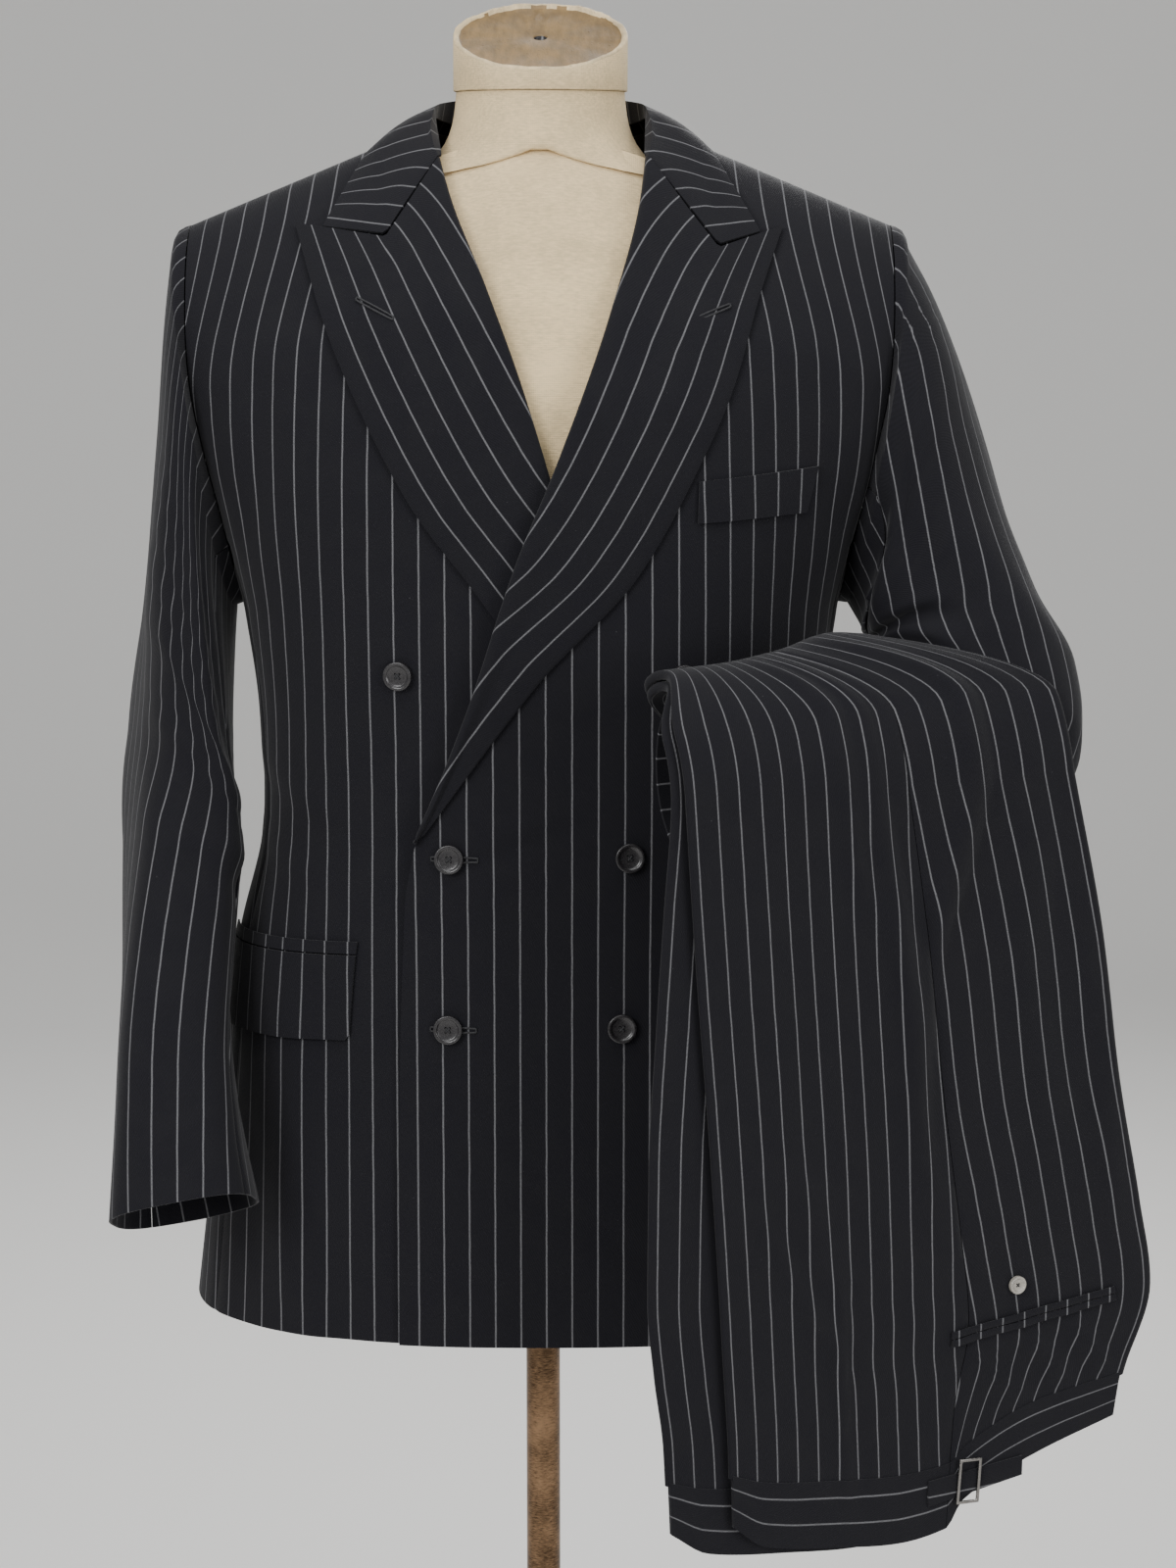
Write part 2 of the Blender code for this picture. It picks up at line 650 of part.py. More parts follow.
def lapel(name, roll, outline, gorge, lift, rise):
    """A lapel: columns from the roll line out to the edge, rows from the break to the gorge and peak."""
    rows = LAPEL_ROWS
    columns = LAPEL_COLUMNS
    outline_share = np.linspace(0, 1, len(outline))
    outline_x = np.array([place.x for place in outline])
    outline_z = np.array([place.z for place in outline])
    x = np.zeros((rows, columns))
    z = np.zeros((rows, columns))
    share_across = np.linspace(0, 1, columns)
    hat = np.where(share_across < GORGE_SHARE, share_across / GORGE_SHARE, (1 - share_across) / (1 - GORGE_SHARE))
    for row in range(rows):
        share = row / (rows - 1)
        inner_x, inner_z = roll_point(roll, share)
        outer_x = np.interp(share, outline_share, outline_x)
        outer_z = np.interp(share, outline_share, outline_z)
        sag_x = gorge.x - mix(roll_point(roll, 1)[0], outline_x[-1], GORGE_SHARE)
        sag_z = gorge.z - mix(GORGE_START, outline_z[-1], GORGE_SHARE)
        x[row] = mix(inner_x, outer_x, share_across) + sag_x * share**4 * hat
        z[row] = mix(inner_z, outer_z, share_across) + sag_z * share**4 * hat
    level = level_at(x, z)
    turns = turn_at(x, level)
    roll_rise = rise * (1 - smooth(share_across / ROLL_SHARE))
    out = lift(x, z) + LAPEL_LIFT + WALL + roll_rise[None, :]
    outer = offset(turns, level, out)
    inner = offset(turns, level, out - WALL)
    return wall_mesh(name, outer, inner, "suit_cloth")


def no_lift(x, z):
    return np.zeros_like(x)


def collar_end(roll, gorge, notch, columns):
    """The collar's front end, along the gorge to the notch."""
    start_x = float(read(by_height(roll), "x", GORGE_START))
    share = np.linspace(0, 1, columns)
    stops = (0, COLLAR_GORGE_SHARE, 1)
    x = np.interp(share, stops, (start_x, gorge.x, notch.x))
    z = np.interp(share, stops, (GORGE_START, gorge.z, notch.z))
    return x, z + COLLAR_GORGE_GAP


def collar_half(side, roll, gorge, notch):
    """Leaf rows of one half, from the front end (row 0) to the centre back, as outer-face points."""
    leaf = COLLAR_LEAF
    rows = []
    end_x, end_z = collar_end(roll, gorge, notch, leaf)
    end_level = level_at(end_x, end_z)
    start = offset(turn_at(end_x, end_level), end_level, np.full(leaf, LAPEL_LIFT + WALL))
    fold_front = start[0] + COLLAR_FRONT_FOLD
    stand_front = start[0] + COLLAR_FRONT_STAND * (side, 1, 1)
    shoulder_fold = COLLAR_FOLD_SIDE * (side, 1, 1)
    shoulder_stand = COLLAR_STAND_SIDE * (side, 1, 1)
    for row in range(COLLAR_HALF_ROWS + 1):
        if row <= COLLAR_SHOULDER_ROW:
            share = row / COLLAR_SHOULDER_ROW
            fold = mix(fold_front, shoulder_fold, share)
            fold[0] += side * COLLAR_FOLD_SWELL * math.sin(math.pi * share)
            stand = mix(stand_front, shoulder_stand, share)
            edge_x = mix(end_x[-1], side * COLLAR_EDGE_SIDE_X, share)
            edge_z = mix(end_z[-1], SHOULDER - TORSO[-1].tilt * COLLAR_EDGE_SIDE_X, share)
            edge_level = level_at(edge_x, edge_z)
            edge = offset(turn_at(edge_x, edge_level), edge_level, np.array(LAPEL_LIFT + WALL))
        else:
            share = (row - COLLAR_SHOULDER_ROW) / (COLLAR_HALF_ROWS - COLLAR_SHOULDER_ROW)
            quarter = share * math.pi / 2
            bend = np.array((math.cos(quarter), math.sin(quarter), share))
            fold = mix(shoulder_fold, COLLAR_FOLD_BACK, bend * (-1, 1, 1) + (1, 0, 0))
            stand = mix(shoulder_stand, COLLAR_STAND_BACK, bend * (-1, 1, 1) + (1, 0, 0))
            edge_x = side * COLLAR_EDGE_SIDE_X * math.cos(quarter)
            edge_level = mix(SHOULDER, COLLAR_EDGE_BACK_LEVEL, math.sin(quarter) ** COLLAR_EDGE_TURN)
            turn = turn_at(np.array(edge_x + side * 1e-6), np.array(edge_level), behind=True)
            edge = offset(turn, np.array(edge_level), np.array(LAPEL_LIFT + WALL))
        straight = np.linspace(0, 1, leaf)[:, None]
        line = mix(fold[None, :], edge[None, :], straight)
        if row <= COLLAR_SHOULDER_ROW:
            near_end = (1 - row / COLLAR_SHOULDER_ROW) ** 2
            line = mix(line, start, near_end)
            line[0] = fold
        arch = COLLAR_ARCH * np.sin(math.pi * straight) * mix(COLLAR_ARCH_FRONT, 1, row / COLLAR_HALF_ROWS)
        away = line[:, :2] - np.array((0, NECK_MIDDLE))
        away = away / np.linalg.norm(away, axis=1, keepdims=True)
        line[:, 2:] += arch * COLLAR_ARCH_UP
        line[:, :2] += away * arch * COLLAR_ARCH_OUT
        inside = mix(stand[None, :], fold[None, :], np.linspace(0, COLLAR_STAND_TOP, COLLAR_STAND)[:, None])
        rows.append(np.concatenate((inside, line)))
    return rows


def grid_normals(points):
    """Unit normals of a grid of points, from the differences between neighbours."""
    down = np.gradient(points, axis=0)
    across = np.gradient(points, axis=1)
    normal = np.cross(down, across)
    return normal / np.maximum(np.linalg.norm(normal, axis=-1, keepdims=True), 1e-12)


def collar():
    left = collar_half(1, LEFT_ROLL, LEFT_GORGE, LEFT_NOTCH)
    right = collar_half(-1, RIGHT_ROLL, RIGHT_GORGE, RIGHT_NOTCH)
    points = np.array(right[:-1] + left[::-1])
    normal = grid_normals(points)
    lifted = points[len(points) // 2, -1] + normal[len(points) // 2, -1]
    if lifted[1] < points[len(points) // 2, -1, 1]:
        normal = -normal
    return wall_mesh("collar", points + normal * WALL / 2, points - normal * WALL / 2, "collar_cloth")


def patch(name, corners, columns, rows, out):
    """A four-cornered piece on the front, its corners given from the lower front one round."""
    across = np.linspace(0, 1, columns)[None, :]
    up = np.linspace(0, 1, rows)[:, None]
    xs = [corner.x for corner in corners]
    zs = [corner.z for corner in corners]
    x = mix(mix(xs[0], xs[1], across), mix(xs[3], xs[2], across), up)
    z = mix(mix(zs[0], zs[1], across), mix(zs[3], zs[2], across), up)
    level = level_at(x, z)
    return body_wall(name, turn_at(x, level), level, out + overlap_lift(x, z))


def hip_pocket(side):
    """The jet and the flap of one hip pocket. Its length runs round the body."""
    word = "left" if side > 0 else "right"
    top = HIP_POCKET.z
    first = float(turn_at(np.array(HIP_POCKET.x), np.array(top)))
    dense = np.linspace(first, math.radians(100), 200)
    points = torso(dense, np.full_like(dense, top))
    run = np.concatenate(([0], np.cumsum(np.linalg.norm(np.diff(points, axis=0), axis=1))))
    turns = np.interp(np.linspace(0, HIP_POCKET_LENGTH, 9), run, dense)
    share = np.linspace(0, 1, 9)
    slope = POCKET_SLOPE * share * HIP_POCKET_LENGTH
    under = overlap_lift if side > 0 else no_lift
    for name, low, high, rows, lift, wall in (
        (f"flap_{word}", -FLAP_DROP, -JET_GAP, FLAP_ROWS, POCKET_LIFT + WALL, WALL),
        (f"jet_{word}", JET_GAP, JET_HEIGHT, 2, HIP_JET_LIFT + HIP_JET_WALL, HIP_JET_WALL),
    ):
        up = np.linspace(low, high, rows)[:, None]
        level = top + slope[None, :] + up
        grid = np.broadcast_to(side * turns[None, :], level.shape)
        place = torso(grid, level)
        body_wall(name, grid, level, lift + under(place[..., 0], place[..., 2]), wall=wall)


def armhole(side, angle):
    """The armhole's edge at an angle: 0 at the shoulder, a quarter turn at the front, half at the armpit."""
    dense = np.linspace(ARMPIT, SHOULDER, 500)
    angle = np.mod(np.asarray(angle, float), 2 * math.pi)
    front = torso(armhole_turn(dense), dense)
    behind = torso(armhole_turn(dense, behind=True), dense)
    top = front[-1, 2]
    bottom = front[0, 2]
    z = mix(bottom, top, (1 + np.cos(angle)) / 2)
    points = []
    for index, height in enumerate(np.atleast_1d(z)):
        edge = front if np.atleast_1d(angle)[index] <= math.pi else behind
        points.append([np.interp(height, edge[:, 2], edge[:, axis]) for axis in range(3)])
    return np.array(points) * (side, 1, 1)


def unit(vector):
    return vector / np.linalg.norm(vector)


def flattened(value, power):
    """A sine or cosine drawn towards the corners of a flatter section."""
    return np.sign(value) * np.abs(value) ** (2 / power)


def sleeve_loops(arm, angles):
    """Loops of a sleeve, from the armhole down to the cuff, at the given angles round the cloth."""
    loops = [armhole(arm.side, angles) + (arm.side * SLEEVE_JOIN, 0, 0)]
    places = np.linspace(0, len(arm.rings) - 1, arm.rows)
    outer = np.stack([read(arm.rings, column, places) for column in ("outer_x", "outer_y", "outer_z")], axis=1)
    inner = np.stack([read(arm.rings, column, places) for column in ("inner_x", "inner_y", "inner_z")], axis=1)
    deep = read(arm.rings, "deep", places)
    power = read(arm.rings, "power", places)
    middle = (outer + inner) / 2
    path = np.gradient(middle, axis=0)
    straight = np.array((0.0, -1.0, 0.0))
    for row, place in enumerate(places):
        half = (outer[row] - inner[row]) / 2
        front = unit(mix(straight, unit(np.cross(path[row], half)), smooth(place / RING_SETTLED)))
        round_arm = angles + arm.twist * smooth(place / (TWIST_SHARE * places[-1]))
        out = flattened(np.cos(round_arm), power[row])
        ahead = flattened(np.sin(round_arm), power[row])
        loop = middle[row] + np.outer(out, half) + np.outer(ahead, front * deep[row])
        loops.append(loop * (arm.side, 1, 1))
    return np.array(loops)


def sleeve_normals(arm, angles, points):
    """Outward normals of a sleeve's loops. At the armhole they lie in its plane."""
    step = 0.02
    across = sleeve_loops(arm, angles + step) - sleeve_loops(arm, angles - step)
    normal = np.cross(np.gradient(points, axis=0), across)
    normal /= np.linalg.norm(normal, axis=-1, keepdims=True)
    middle = sleeve_loops(arm, np.linspace(0, 2 * math.pi, 13)[:-1]).mean(axis=1)[:, None]
    normal *= np.where(np.sum(normal * (points - middle), axis=-1, keepdims=True) < 0, -1, 1)
    normal[0, :, 0] = 0
    normal[0] /= np.linalg.norm(normal[0], axis=-1, keepdims=True)
    return normal


def sleeve(word):
    """Top sleeve and under sleeve of one arm, from loops of points and their walls toward the axis."""
    arm = ARMS[word]
    for piece, first, last, columns in (
        ("top_sleeve", arm.back_seam, arm.front_seam, 12),
        ("under_sleeve", arm.front_seam, arm.back_seam + 2 * math.pi, 8),
    ):
        angles = np.linspace(first + SLEEVE_SEAM_PAD, last - SLEEVE_SEAM_PAD, columns)
        outer = sleeve_loops(arm, angles)
        normal = sleeve_normals(arm, angles, outer)
        wall_mesh(f"{piece}_{word}", outer, outer - normal * WALL, "suit_cloth")


def turned(name, profile, steps, paint, place, normal=(0, 0, 1)):
    """A turned piece. Its profile lists radius and height, both ends on the axis, about a given direction."""
    axis = unit(np.array(normal, float))
    side = unit(np.cross(axis, (0.0, 1.0, 0.0) if abs(axis[1]) < 0.9 else (1.0, 0.0, 0.0)))
    other = np.cross(axis, side)
    place = np.array(place, float)
    mesh = bmesh.new()
    rings = []
    for radius, height in profile:
        centre = place + axis * height
        if radius < 1e-9:
            rings.append([mesh.verts.new(centre)])
            continue
        around = np.arange(steps) * 2 * math.pi / steps
        rings.append([mesh.verts.new(centre + radius * (side * math.cos(a) + other * math.sin(a))) for a in around])
    for below, above in zip(rings, rings[1:]):
        for index in range(steps):
            after = (index + 1) % steps
            if len(below) == 1:
                mesh.faces.new((below[0], above[index], above[after]))
            elif len(above) == 1:
                mesh.faces.new((below[index], below[after], above[0]))
            else:
                mesh.faces.new((below[index], below[after], above[after], above[index]))
    return finish(name, mesh, paint)


def button(name, place, normal, width, paint="horn"):
    """A button with a raised rim round a dished middle."""
    radius = width / 2
    profile = (
        (0.0, 0.0),
        (0.86 * radius, 0.0),
        (radius, 0.45 * BUTTON_THICK),
        (0.86 * radius, BUTTON_THICK),
        (0.62 * radius, 0.68 * BUTTON_THICK),
        (0.0, 0.64 * BUTTON_THICK),
    )
    return turned(name, profile, 12, paint, place, normal)


def front_buttons():
    for name, place in FRONT_BUTTONS.items():
        level = level_at(np.array(place.x), np.array(place.z))
        turn = turn_at(np.array(place.x), level)
        lift = 0.0 if name == UNDER_FRONT_BUTTON else float(overlap_lift(place.x, place.z))
        at = offset(turn, level, np.array(lift + BUTTON_LIFT))
        button(name, at, torso_normal(turn, level), FRONT_BUTTON)


def sleeve_buttons(word):
    """Buttons in a row beside the back seam, near the cuff."""
    arm = ARMS[word]
    angle = np.array((arm.buttons,))
    loops = sleeve_loops(arm, angle)
    normal = sleeve_normals(arm, angle, loops)[::-1, 0]
    line = loops[::-1, 0]
    run = np.concatenate(([0], np.cumsum(np.linalg.norm(np.diff(line, axis=0), axis=1))))
    for index in range(SLEEVE_BUTTONS):
        distance = SLEEVE_BUTTON_FROM_CUFF + index * SLEEVE_BUTTON_STEP
        at = np.array([np.interp(distance, run, line[:, axis]) for axis in range(3)])
        out = unit(np.array([np.interp(distance, run, normal[:, axis]) for axis in range(3)]))
        button(f"sleeve_button_{word}_{index + 1}", at + out * SLEEVE_BUTTON_LIFT, out, SLEEVE_BUTTON)


DRAPE_ALONG = unit(np.array((1.0, DRAPE_SLOPE, 0.0)))
DRAPE_AHEAD = np.array((DRAPE_ALONG[1], -DRAPE_ALONG[0], 0.0))


def front_along(table, z, share, reach):
    """How far along the forearm's line a point of the front drop lies, from its x at that height."""
    rows = tuple(sorted(table))
    x = mix(read(rows, "left", z), read(rows, "right", z), share)
    return (x - DRAPE_ORIGIN[0] - DRAPE_AHEAD[0] * reach) / DRAPE_ALONG[0]


def drape_point(table, share, path, out):
    """A point of a leg's hanging cloth, out from the sleeve that it lies on.

    The path is 0 on the crest, 1 where the front drop starts and 2 at the waist seam, and -1 and -2 behind.
    """
    wide = DRAPE_HALF_WIDE + out
    high = DRAPE_HALF_HIGH + out
    angle = float(np.clip(path, -1, 1)) * math.pi / 2
    crest = float(read(CRESTS, "rise", share))
    z = DRAPE_HEIGHT + (high + crest) * math.cos(angle)
    ahead = wide * math.sin(angle)
    front_z = DRAPE_HEIGHT
    if path > 1:
        z = mix(DRAPE_HEIGHT, float(read(WAISTLINE, "seam", share)), path - 1)
        front_z = z
    if path < -1:
        z = DRAPE_HEIGHT - BACK_DROP * (-path - 1)
        ahead += BACK_LEAN * float(smooth((-path - 1) * BACK_LEAN_RATE))
    front = float(front_along(table, front_z, share, wide))
    back = mix(BACK_LEFT, BACK_RIGHT, share)
    turned_back = float(smooth((TURN_BACK_FROM - angle) / TURN_BACK_FROM))
    flat = np.array((DRAPE_ORIGIN[0], DRAPE_ORIGIN[1], 0.0))
    return flat + DRAPE_ALONG * mix(front, back, turned_back) + DRAPE_AHEAD * ahead + np.array((0, 0, z))


def leg_paths():
    """Places along a leg, from the waist seam over the crest to the hem behind."""
    return np.concatenate((np.linspace(2, 1, 9), np.linspace(0.8, -0.8, 9), np.linspace(-1, -2, 6)))


def leg_piece(name, which, table, shares):
    """A folded leg panel over the forearm: its two hidden layers share one rounded solid."""
    inner_out = LEG_OUT[which]
    grids = []
    for out in (inner_out + LEG_THICK, inner_out):
        grid = [[drape_point(table, share, path, out) for share in shares] for path in leg_paths()]
        grids.append(np.array(grid))
    return wall_mesh(name, grids[0], grids[1], "suit_cloth")


def legs():
    for which, table in (("near", NEAR_LEG), ("far", FAR_LEG)):
        leg_piece(f"{which}_leg_front", which, table, FRONT_SHARES)
        leg_piece(f"{which}_leg_back", which, table, BACK_SHARES)


def front_drop(table, share, z, out):
    """A point in the plane of a leg's front drop."""
    wide = DRAPE_HALF_WIDE + out
    along = float(front_along(table, z, share, wide))
    return np.array((DRAPE_ORIGIN[0], DRAPE_ORIGIN[1], z)) + DRAPE_ALONG * along + DRAPE_AHEAD * wide


def front_drop_at(spot, out):
    """A point of the front drop's plane at a given x and z."""
    wide = DRAPE_HALF_WIDE + out
    along = (spot.x - DRAPE_ORIGIN[0] - DRAPE_AHEAD[0] * wide) / DRAPE_ALONG[0]
    return np.array((DRAPE_ORIGIN[0], DRAPE_ORIGIN[1], spot.z)) + DRAPE_ALONG * along + DRAPE_AHEAD * wide


def waistband(name, which, table, shares):
    """A length of waistband below the waist seam, hanging in the plane of its leg."""
    inner_out = LEG_OUT[which] + LEG_THICK - WAISTBAND_THICK
    grids = []
    for out in (inner_out + WAISTBAND_THICK, inner_out):
        rows = []
        for level in np.linspace(0, 1, 4):
            seam = read(WAISTLINE, "seam", shares) - 2 * SEAM_GAP
            heights = mix(seam, read(WAISTLINE, "edge", shares), level)
            rows.append([front_drop(table, share, z, out) for share, z in zip(shares, heights)])
        grids.append(np.array(rows))
    return wall_mesh(name, grids[0], grids[1], "suit_cloth")


def near_leg_patch(name, corners, columns, rows, lift, wall):
    """A four-cornered piece on the near leg or its waistband, its corners given from the lower left round."""
    face = LEG_OUT["near"] + LEG_THICK
    across = np.linspace(0, 1, columns)
    grids = []
    for out in (face + lift + wall, face + lift):
        grid = []
        for up in np.linspace(0, 1, rows):
            row = []
            for share_across in across:
                low = [mix(corners[0][k], corners[1][k], share_across) for k in (0, 1)]
                high = [mix(corners[3][k], corners[2][k], share_across) for k in (0, 1)]
                spot = Place(mix(low[0], high[0], up), mix(low[1], high[1], up))
                row.append(front_drop_at(spot, out))
            grid.append(row)
        grids.append(np.array(grid))
    return wall_mesh(name, grids[0], grids[1], "suit_cloth")


def buckle():
    """The side adjuster's buckle: a rectangle of wire round the strap."""
    face = LEG_OUT["near"] + LEG_THICK + BUCKLE_LIFT
    rows = []
    for out in (face, face + BUCKLE_WIRE):
        for grow in (0.0, BUCKLE_WIRE):
            ring = []
            for x_side, z_side in ((-1, -1), (1, -1), (1, 1), (-1, 1)):
                x = BUCKLE_MIDDLE.x + x_side * (BUCKLE_WIDE / 2 + grow)
                z = BUCKLE_MIDDLE.z + z_side * (BUCKLE_HIGH / 2 + grow)
                ring.append(front_drop_at(Place(x, z), out))
            rows.append(ring)
    mesh = bmesh.new()
    rings = [[mesh.verts.new(point) for point in rows[index]] for index in (0, 1, 3, 2)]
    for ring, following in zip(rings, rings[1:] + rings[:1]):
        for corner in range(4):
            after = (corner + 1) % 4
            mesh.faces.new((ring[corner], ring[after], following[after], following[corner]))
    return finish("adjuster_buckle", mesh, "buckle_steel")


def trousers():
    legs()
    waistband("waistband_front", "near", NEAR_LEG, FRONT_SHARES)
    waistband("waistband_back", "near", NEAR_LEG, BACK_SHARES)
    waistband("waistband_far", "far", FAR_LEG, np.concatenate((FRONT_SHARES, BACK_SHARES)))
    near_leg_patch("back_pocket_jet_upper", POCKET_JET_UPPER, 6, 2, JET_LIFT, JET_WALL)
    near_leg_patch("back_pocket_jet_lower", POCKET_JET_LOWER, 6, 2, JET_LIFT, JET_WALL)
    near_leg_patch("adjuster_strap", STRAP, 6, 3, STRAP_LIFT, WALL)
    buckle()
    place = front_drop_at(POCKET_BUTTON, LEG_OUT["near"] + LEG_THICK + BUTTON_LIFT)
    button("back_pocket_button", place, DRAPE_AHEAD, POCKET_BUTTON_WIDE, "pocket_horn")


def dress_form():
    """The linen torso: the jacket's own outline drawn in, closed below, with a neck joined on."""
    columns = FORM_COLUMNS
    rounded = np.radians((22.5, 45.0, 67.5, 84.0))
    levels = np.concatenate(
        (
            np.linspace(FORM_BOTTOM, ARMPIT, 7),
            np.linspace(ARMPIT, ROUND_FROM, 5)[1:],
            ROUND_FROM + (SHOULDER - ROUND_FROM) * np.sin(rounded),
        )
    )
    mesh = bmesh.new()
    rings = []
    for level in levels:
        turns = (np.arange(columns) + 0.5) * 2 * math.pi / columns
        points = torso(turns, np.full(columns, level))
        gap = float(read(FORM_GAPS, "inward", level))
        limit = float(read(TORSO, "side", level)) - FORM_SIDE_GAP
        middle = float(read(TORSO, "middle", level))
        inward = offset(turns, np.full(columns, level), np.full(columns, -gap))
        inward[:, 0] = np.clip(inward[:, 0], -limit, limit)
        lost = np.sign(inward[:, 1] - middle) != np.sign(points[:, 1] - middle)
        inward[lost, 1] = middle
        rings.append([mesh.verts.new(point) for point in inward])
    for below, above in zip(rings, rings[1:]):
        for index in range(columns):
            after = (index + 1) % columns
            mesh.faces.new((below[index], below[after], above[after], above[index]))
    for ring, drop in ((rings[0], -FORM_DISH), (rings[-1], FORM_CROWN)):
        centre = np.mean([vertex.co for vertex in ring], axis=0) + np.array((0, 0, drop))
        point = mesh.verts.new(centre)
        for index in range(columns):
            mesh.faces.new((ring[index], ring[(index + 1) % columns], point))
    body = finish("form_torso", mesh, "form_linen")
    neck = turned(
        "neck_helper",
        (
            (0.0, NECK_FOOT),
            (NECK_RADIUS + NECK_FOOT_FLARE, NECK_FOOT),
            (NECK_RADIUS + NECK_BASE_FLARE, NECK_BASE),
            (NECK_RADIUS, NECK_TOP),
            (0.0, NECK_TOP),
        ),
        24,
        "form_linen",
        (0, NECK_MIDDLE, 0),
    )
    join = body.modifiers.new("neck", "BOOLEAN")
    join.operation = "UNION"
    join.solver = "MANIFOLD"
    join.object = neck
    neck.hide_render = True
    neck.display_type = "WIRE"
    return body


def neck_cap():
    """The plain cap that closes the neck. Its underside is level and its top tips forward."""
    steps = 24
    mesh = bmesh.new()
    rings = []
    for radius, low, tip in (
        (CAP_RADIUS - 0.001, 0.0, 0.0),
        (CAP_RADIUS, 0.002, 0.1),
        (CAP_RADIUS, CAP_THICK - 0.005, 0.9),
        (CAP_RADIUS - 0.003, CAP_THICK, 1.0),
    ):
        ring = []
        for index in range(steps):
            angle = 2 * math.pi * index / steps
            back = radius * math.sin(angle)
            z = NECK_TOP + TOUCH + low + (back + CAP_RADIUS) * math.tan(CAP_TILT) * tip
            ring.append(mesh.verts.new((radius * math.cos(angle), NECK_MIDDLE + back, z)))
        rings.append(ring)
    for below, above in zip(rings, rings[1:]):
        for index in range(steps):
            after = (index + 1) % steps
            mesh.faces.new((below[index], below[after], above[after], above[index]))
    for ring in (rings[0], rings[-1]):
        middle = mesh.verts.new(np.mean([vertex.co for vertex in ring], axis=0))
        for index in range(steps):
            mesh.faces.new((ring[index], ring[(index + 1) % steps], middle))
    return finish("neck_cap", mesh, "cap_wood")


def stand():
    socket_top = FORM_BOTTOM - FORM_DISH - 2 * TOUCH
    turned(
        "pole_socket",
        (
            (0.0, socket_top - SOCKET_HEIGHT),
            (SOCKET_RADIUS * 0.9, socket_top - SOCKET_HEIGHT),
            (SOCKET_RADIUS, socket_top - SOCKET_HEIGHT + 0.004),
            (SOCKET_RADIUS, socket_top),
            (0.0, socket_top),
        ),
        20,
        "pole_brass",
        (0, 0, 0),
    )
    turned(
        "pole",
        (
            (0.0, BASE_THICK + TOUCH),
            (POLE_RADIUS, BASE_THICK + TOUCH),
            (POLE_RADIUS, socket_top - SOCKET_HEIGHT - TOUCH),
            (0.0, socket_top - SOCKET_HEIGHT - TOUCH),
        ),
        20,
        "pole_brass",
        (0, 0, 0),
    )
    turned(
        "base",
        (
            (0.0, 0.0),
            (BASE_RADIUS - 0.003, 0.0),
            (BASE_RADIUS, 0.003),
            (BASE_RADIUS, 0.008),
            (BASE_RADIUS - 0.006, 0.012),
            (0.060, 0.019),
            (0.030, BASE_THICK),
            (0.0, BASE_THICK),
        ),
        32,
        "base_brass",
        (0, 0, 0),
    )


def jacket():
    front_panel("front_left", 1, left_front_edge)
    front_panel("front_right", -1, right_front_edge)
    for word, side in (("left", 1), ("right", -1)):
        side_panel(f"side_panel_{word}", side)
        back_panel(f"back_{word}", side)
        hip_pocket(side)
    lapel("lapel_left", LEFT_ROLL, LEFT_LAPEL, LEFT_GORGE, overlap_lift, LEFT_ROLL_RISE)
    lapel("lapel_right", RIGHT_ROLL, RIGHT_LAPEL, RIGHT_GORGE, no_lift, RIGHT_ROLL_RISE)
    collar()
    patch("breast_welt", WELT_CORNERS, 6, 3, POCKET_LIFT + WALL)
    front_buttons()
    for word in ARMS:
        sleeve(word)
        sleeve_buttons(word)


clear_scene()
stand()
dress_form()
neck_cap()
jacket()
trousers()
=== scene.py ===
"""Visual model of a double-breasted pinstripe suit on a limbless dress form.

A Blender 4.5 add-on that is run as a script. Metres, +Z up. The origin is on the floor under the pole,
the suit faces -Y and the wearer's left is +X.
"""

import json
import math
from collections import namedtuple

import bpy
import numpy as np
from mathutils import Matrix, Vector

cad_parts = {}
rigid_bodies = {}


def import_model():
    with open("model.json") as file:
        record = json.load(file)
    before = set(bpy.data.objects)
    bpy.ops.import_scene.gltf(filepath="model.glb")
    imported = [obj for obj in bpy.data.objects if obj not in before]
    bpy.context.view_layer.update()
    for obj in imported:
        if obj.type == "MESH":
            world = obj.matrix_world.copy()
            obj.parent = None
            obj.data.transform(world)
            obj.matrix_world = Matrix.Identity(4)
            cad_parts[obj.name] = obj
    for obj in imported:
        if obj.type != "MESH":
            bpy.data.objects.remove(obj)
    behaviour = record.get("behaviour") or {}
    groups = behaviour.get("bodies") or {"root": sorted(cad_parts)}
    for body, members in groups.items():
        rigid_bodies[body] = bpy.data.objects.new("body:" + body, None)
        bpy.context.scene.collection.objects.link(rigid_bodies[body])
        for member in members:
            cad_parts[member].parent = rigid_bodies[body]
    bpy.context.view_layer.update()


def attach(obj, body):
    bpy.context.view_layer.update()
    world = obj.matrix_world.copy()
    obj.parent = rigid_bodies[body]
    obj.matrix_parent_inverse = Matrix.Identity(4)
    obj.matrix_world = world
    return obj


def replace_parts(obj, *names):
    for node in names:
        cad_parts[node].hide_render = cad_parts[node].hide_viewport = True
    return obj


bl_info = {
    "name": "Double-breasted suit",
    "version": (1, 0, 0),
    "blender": (4, 5, 0),
    "location": "View3D > Sidebar > Suit",
    "description": "Cloth, trim, dress form and studio of a double-breasted pinstripe suit",
    "category": "Object",
}

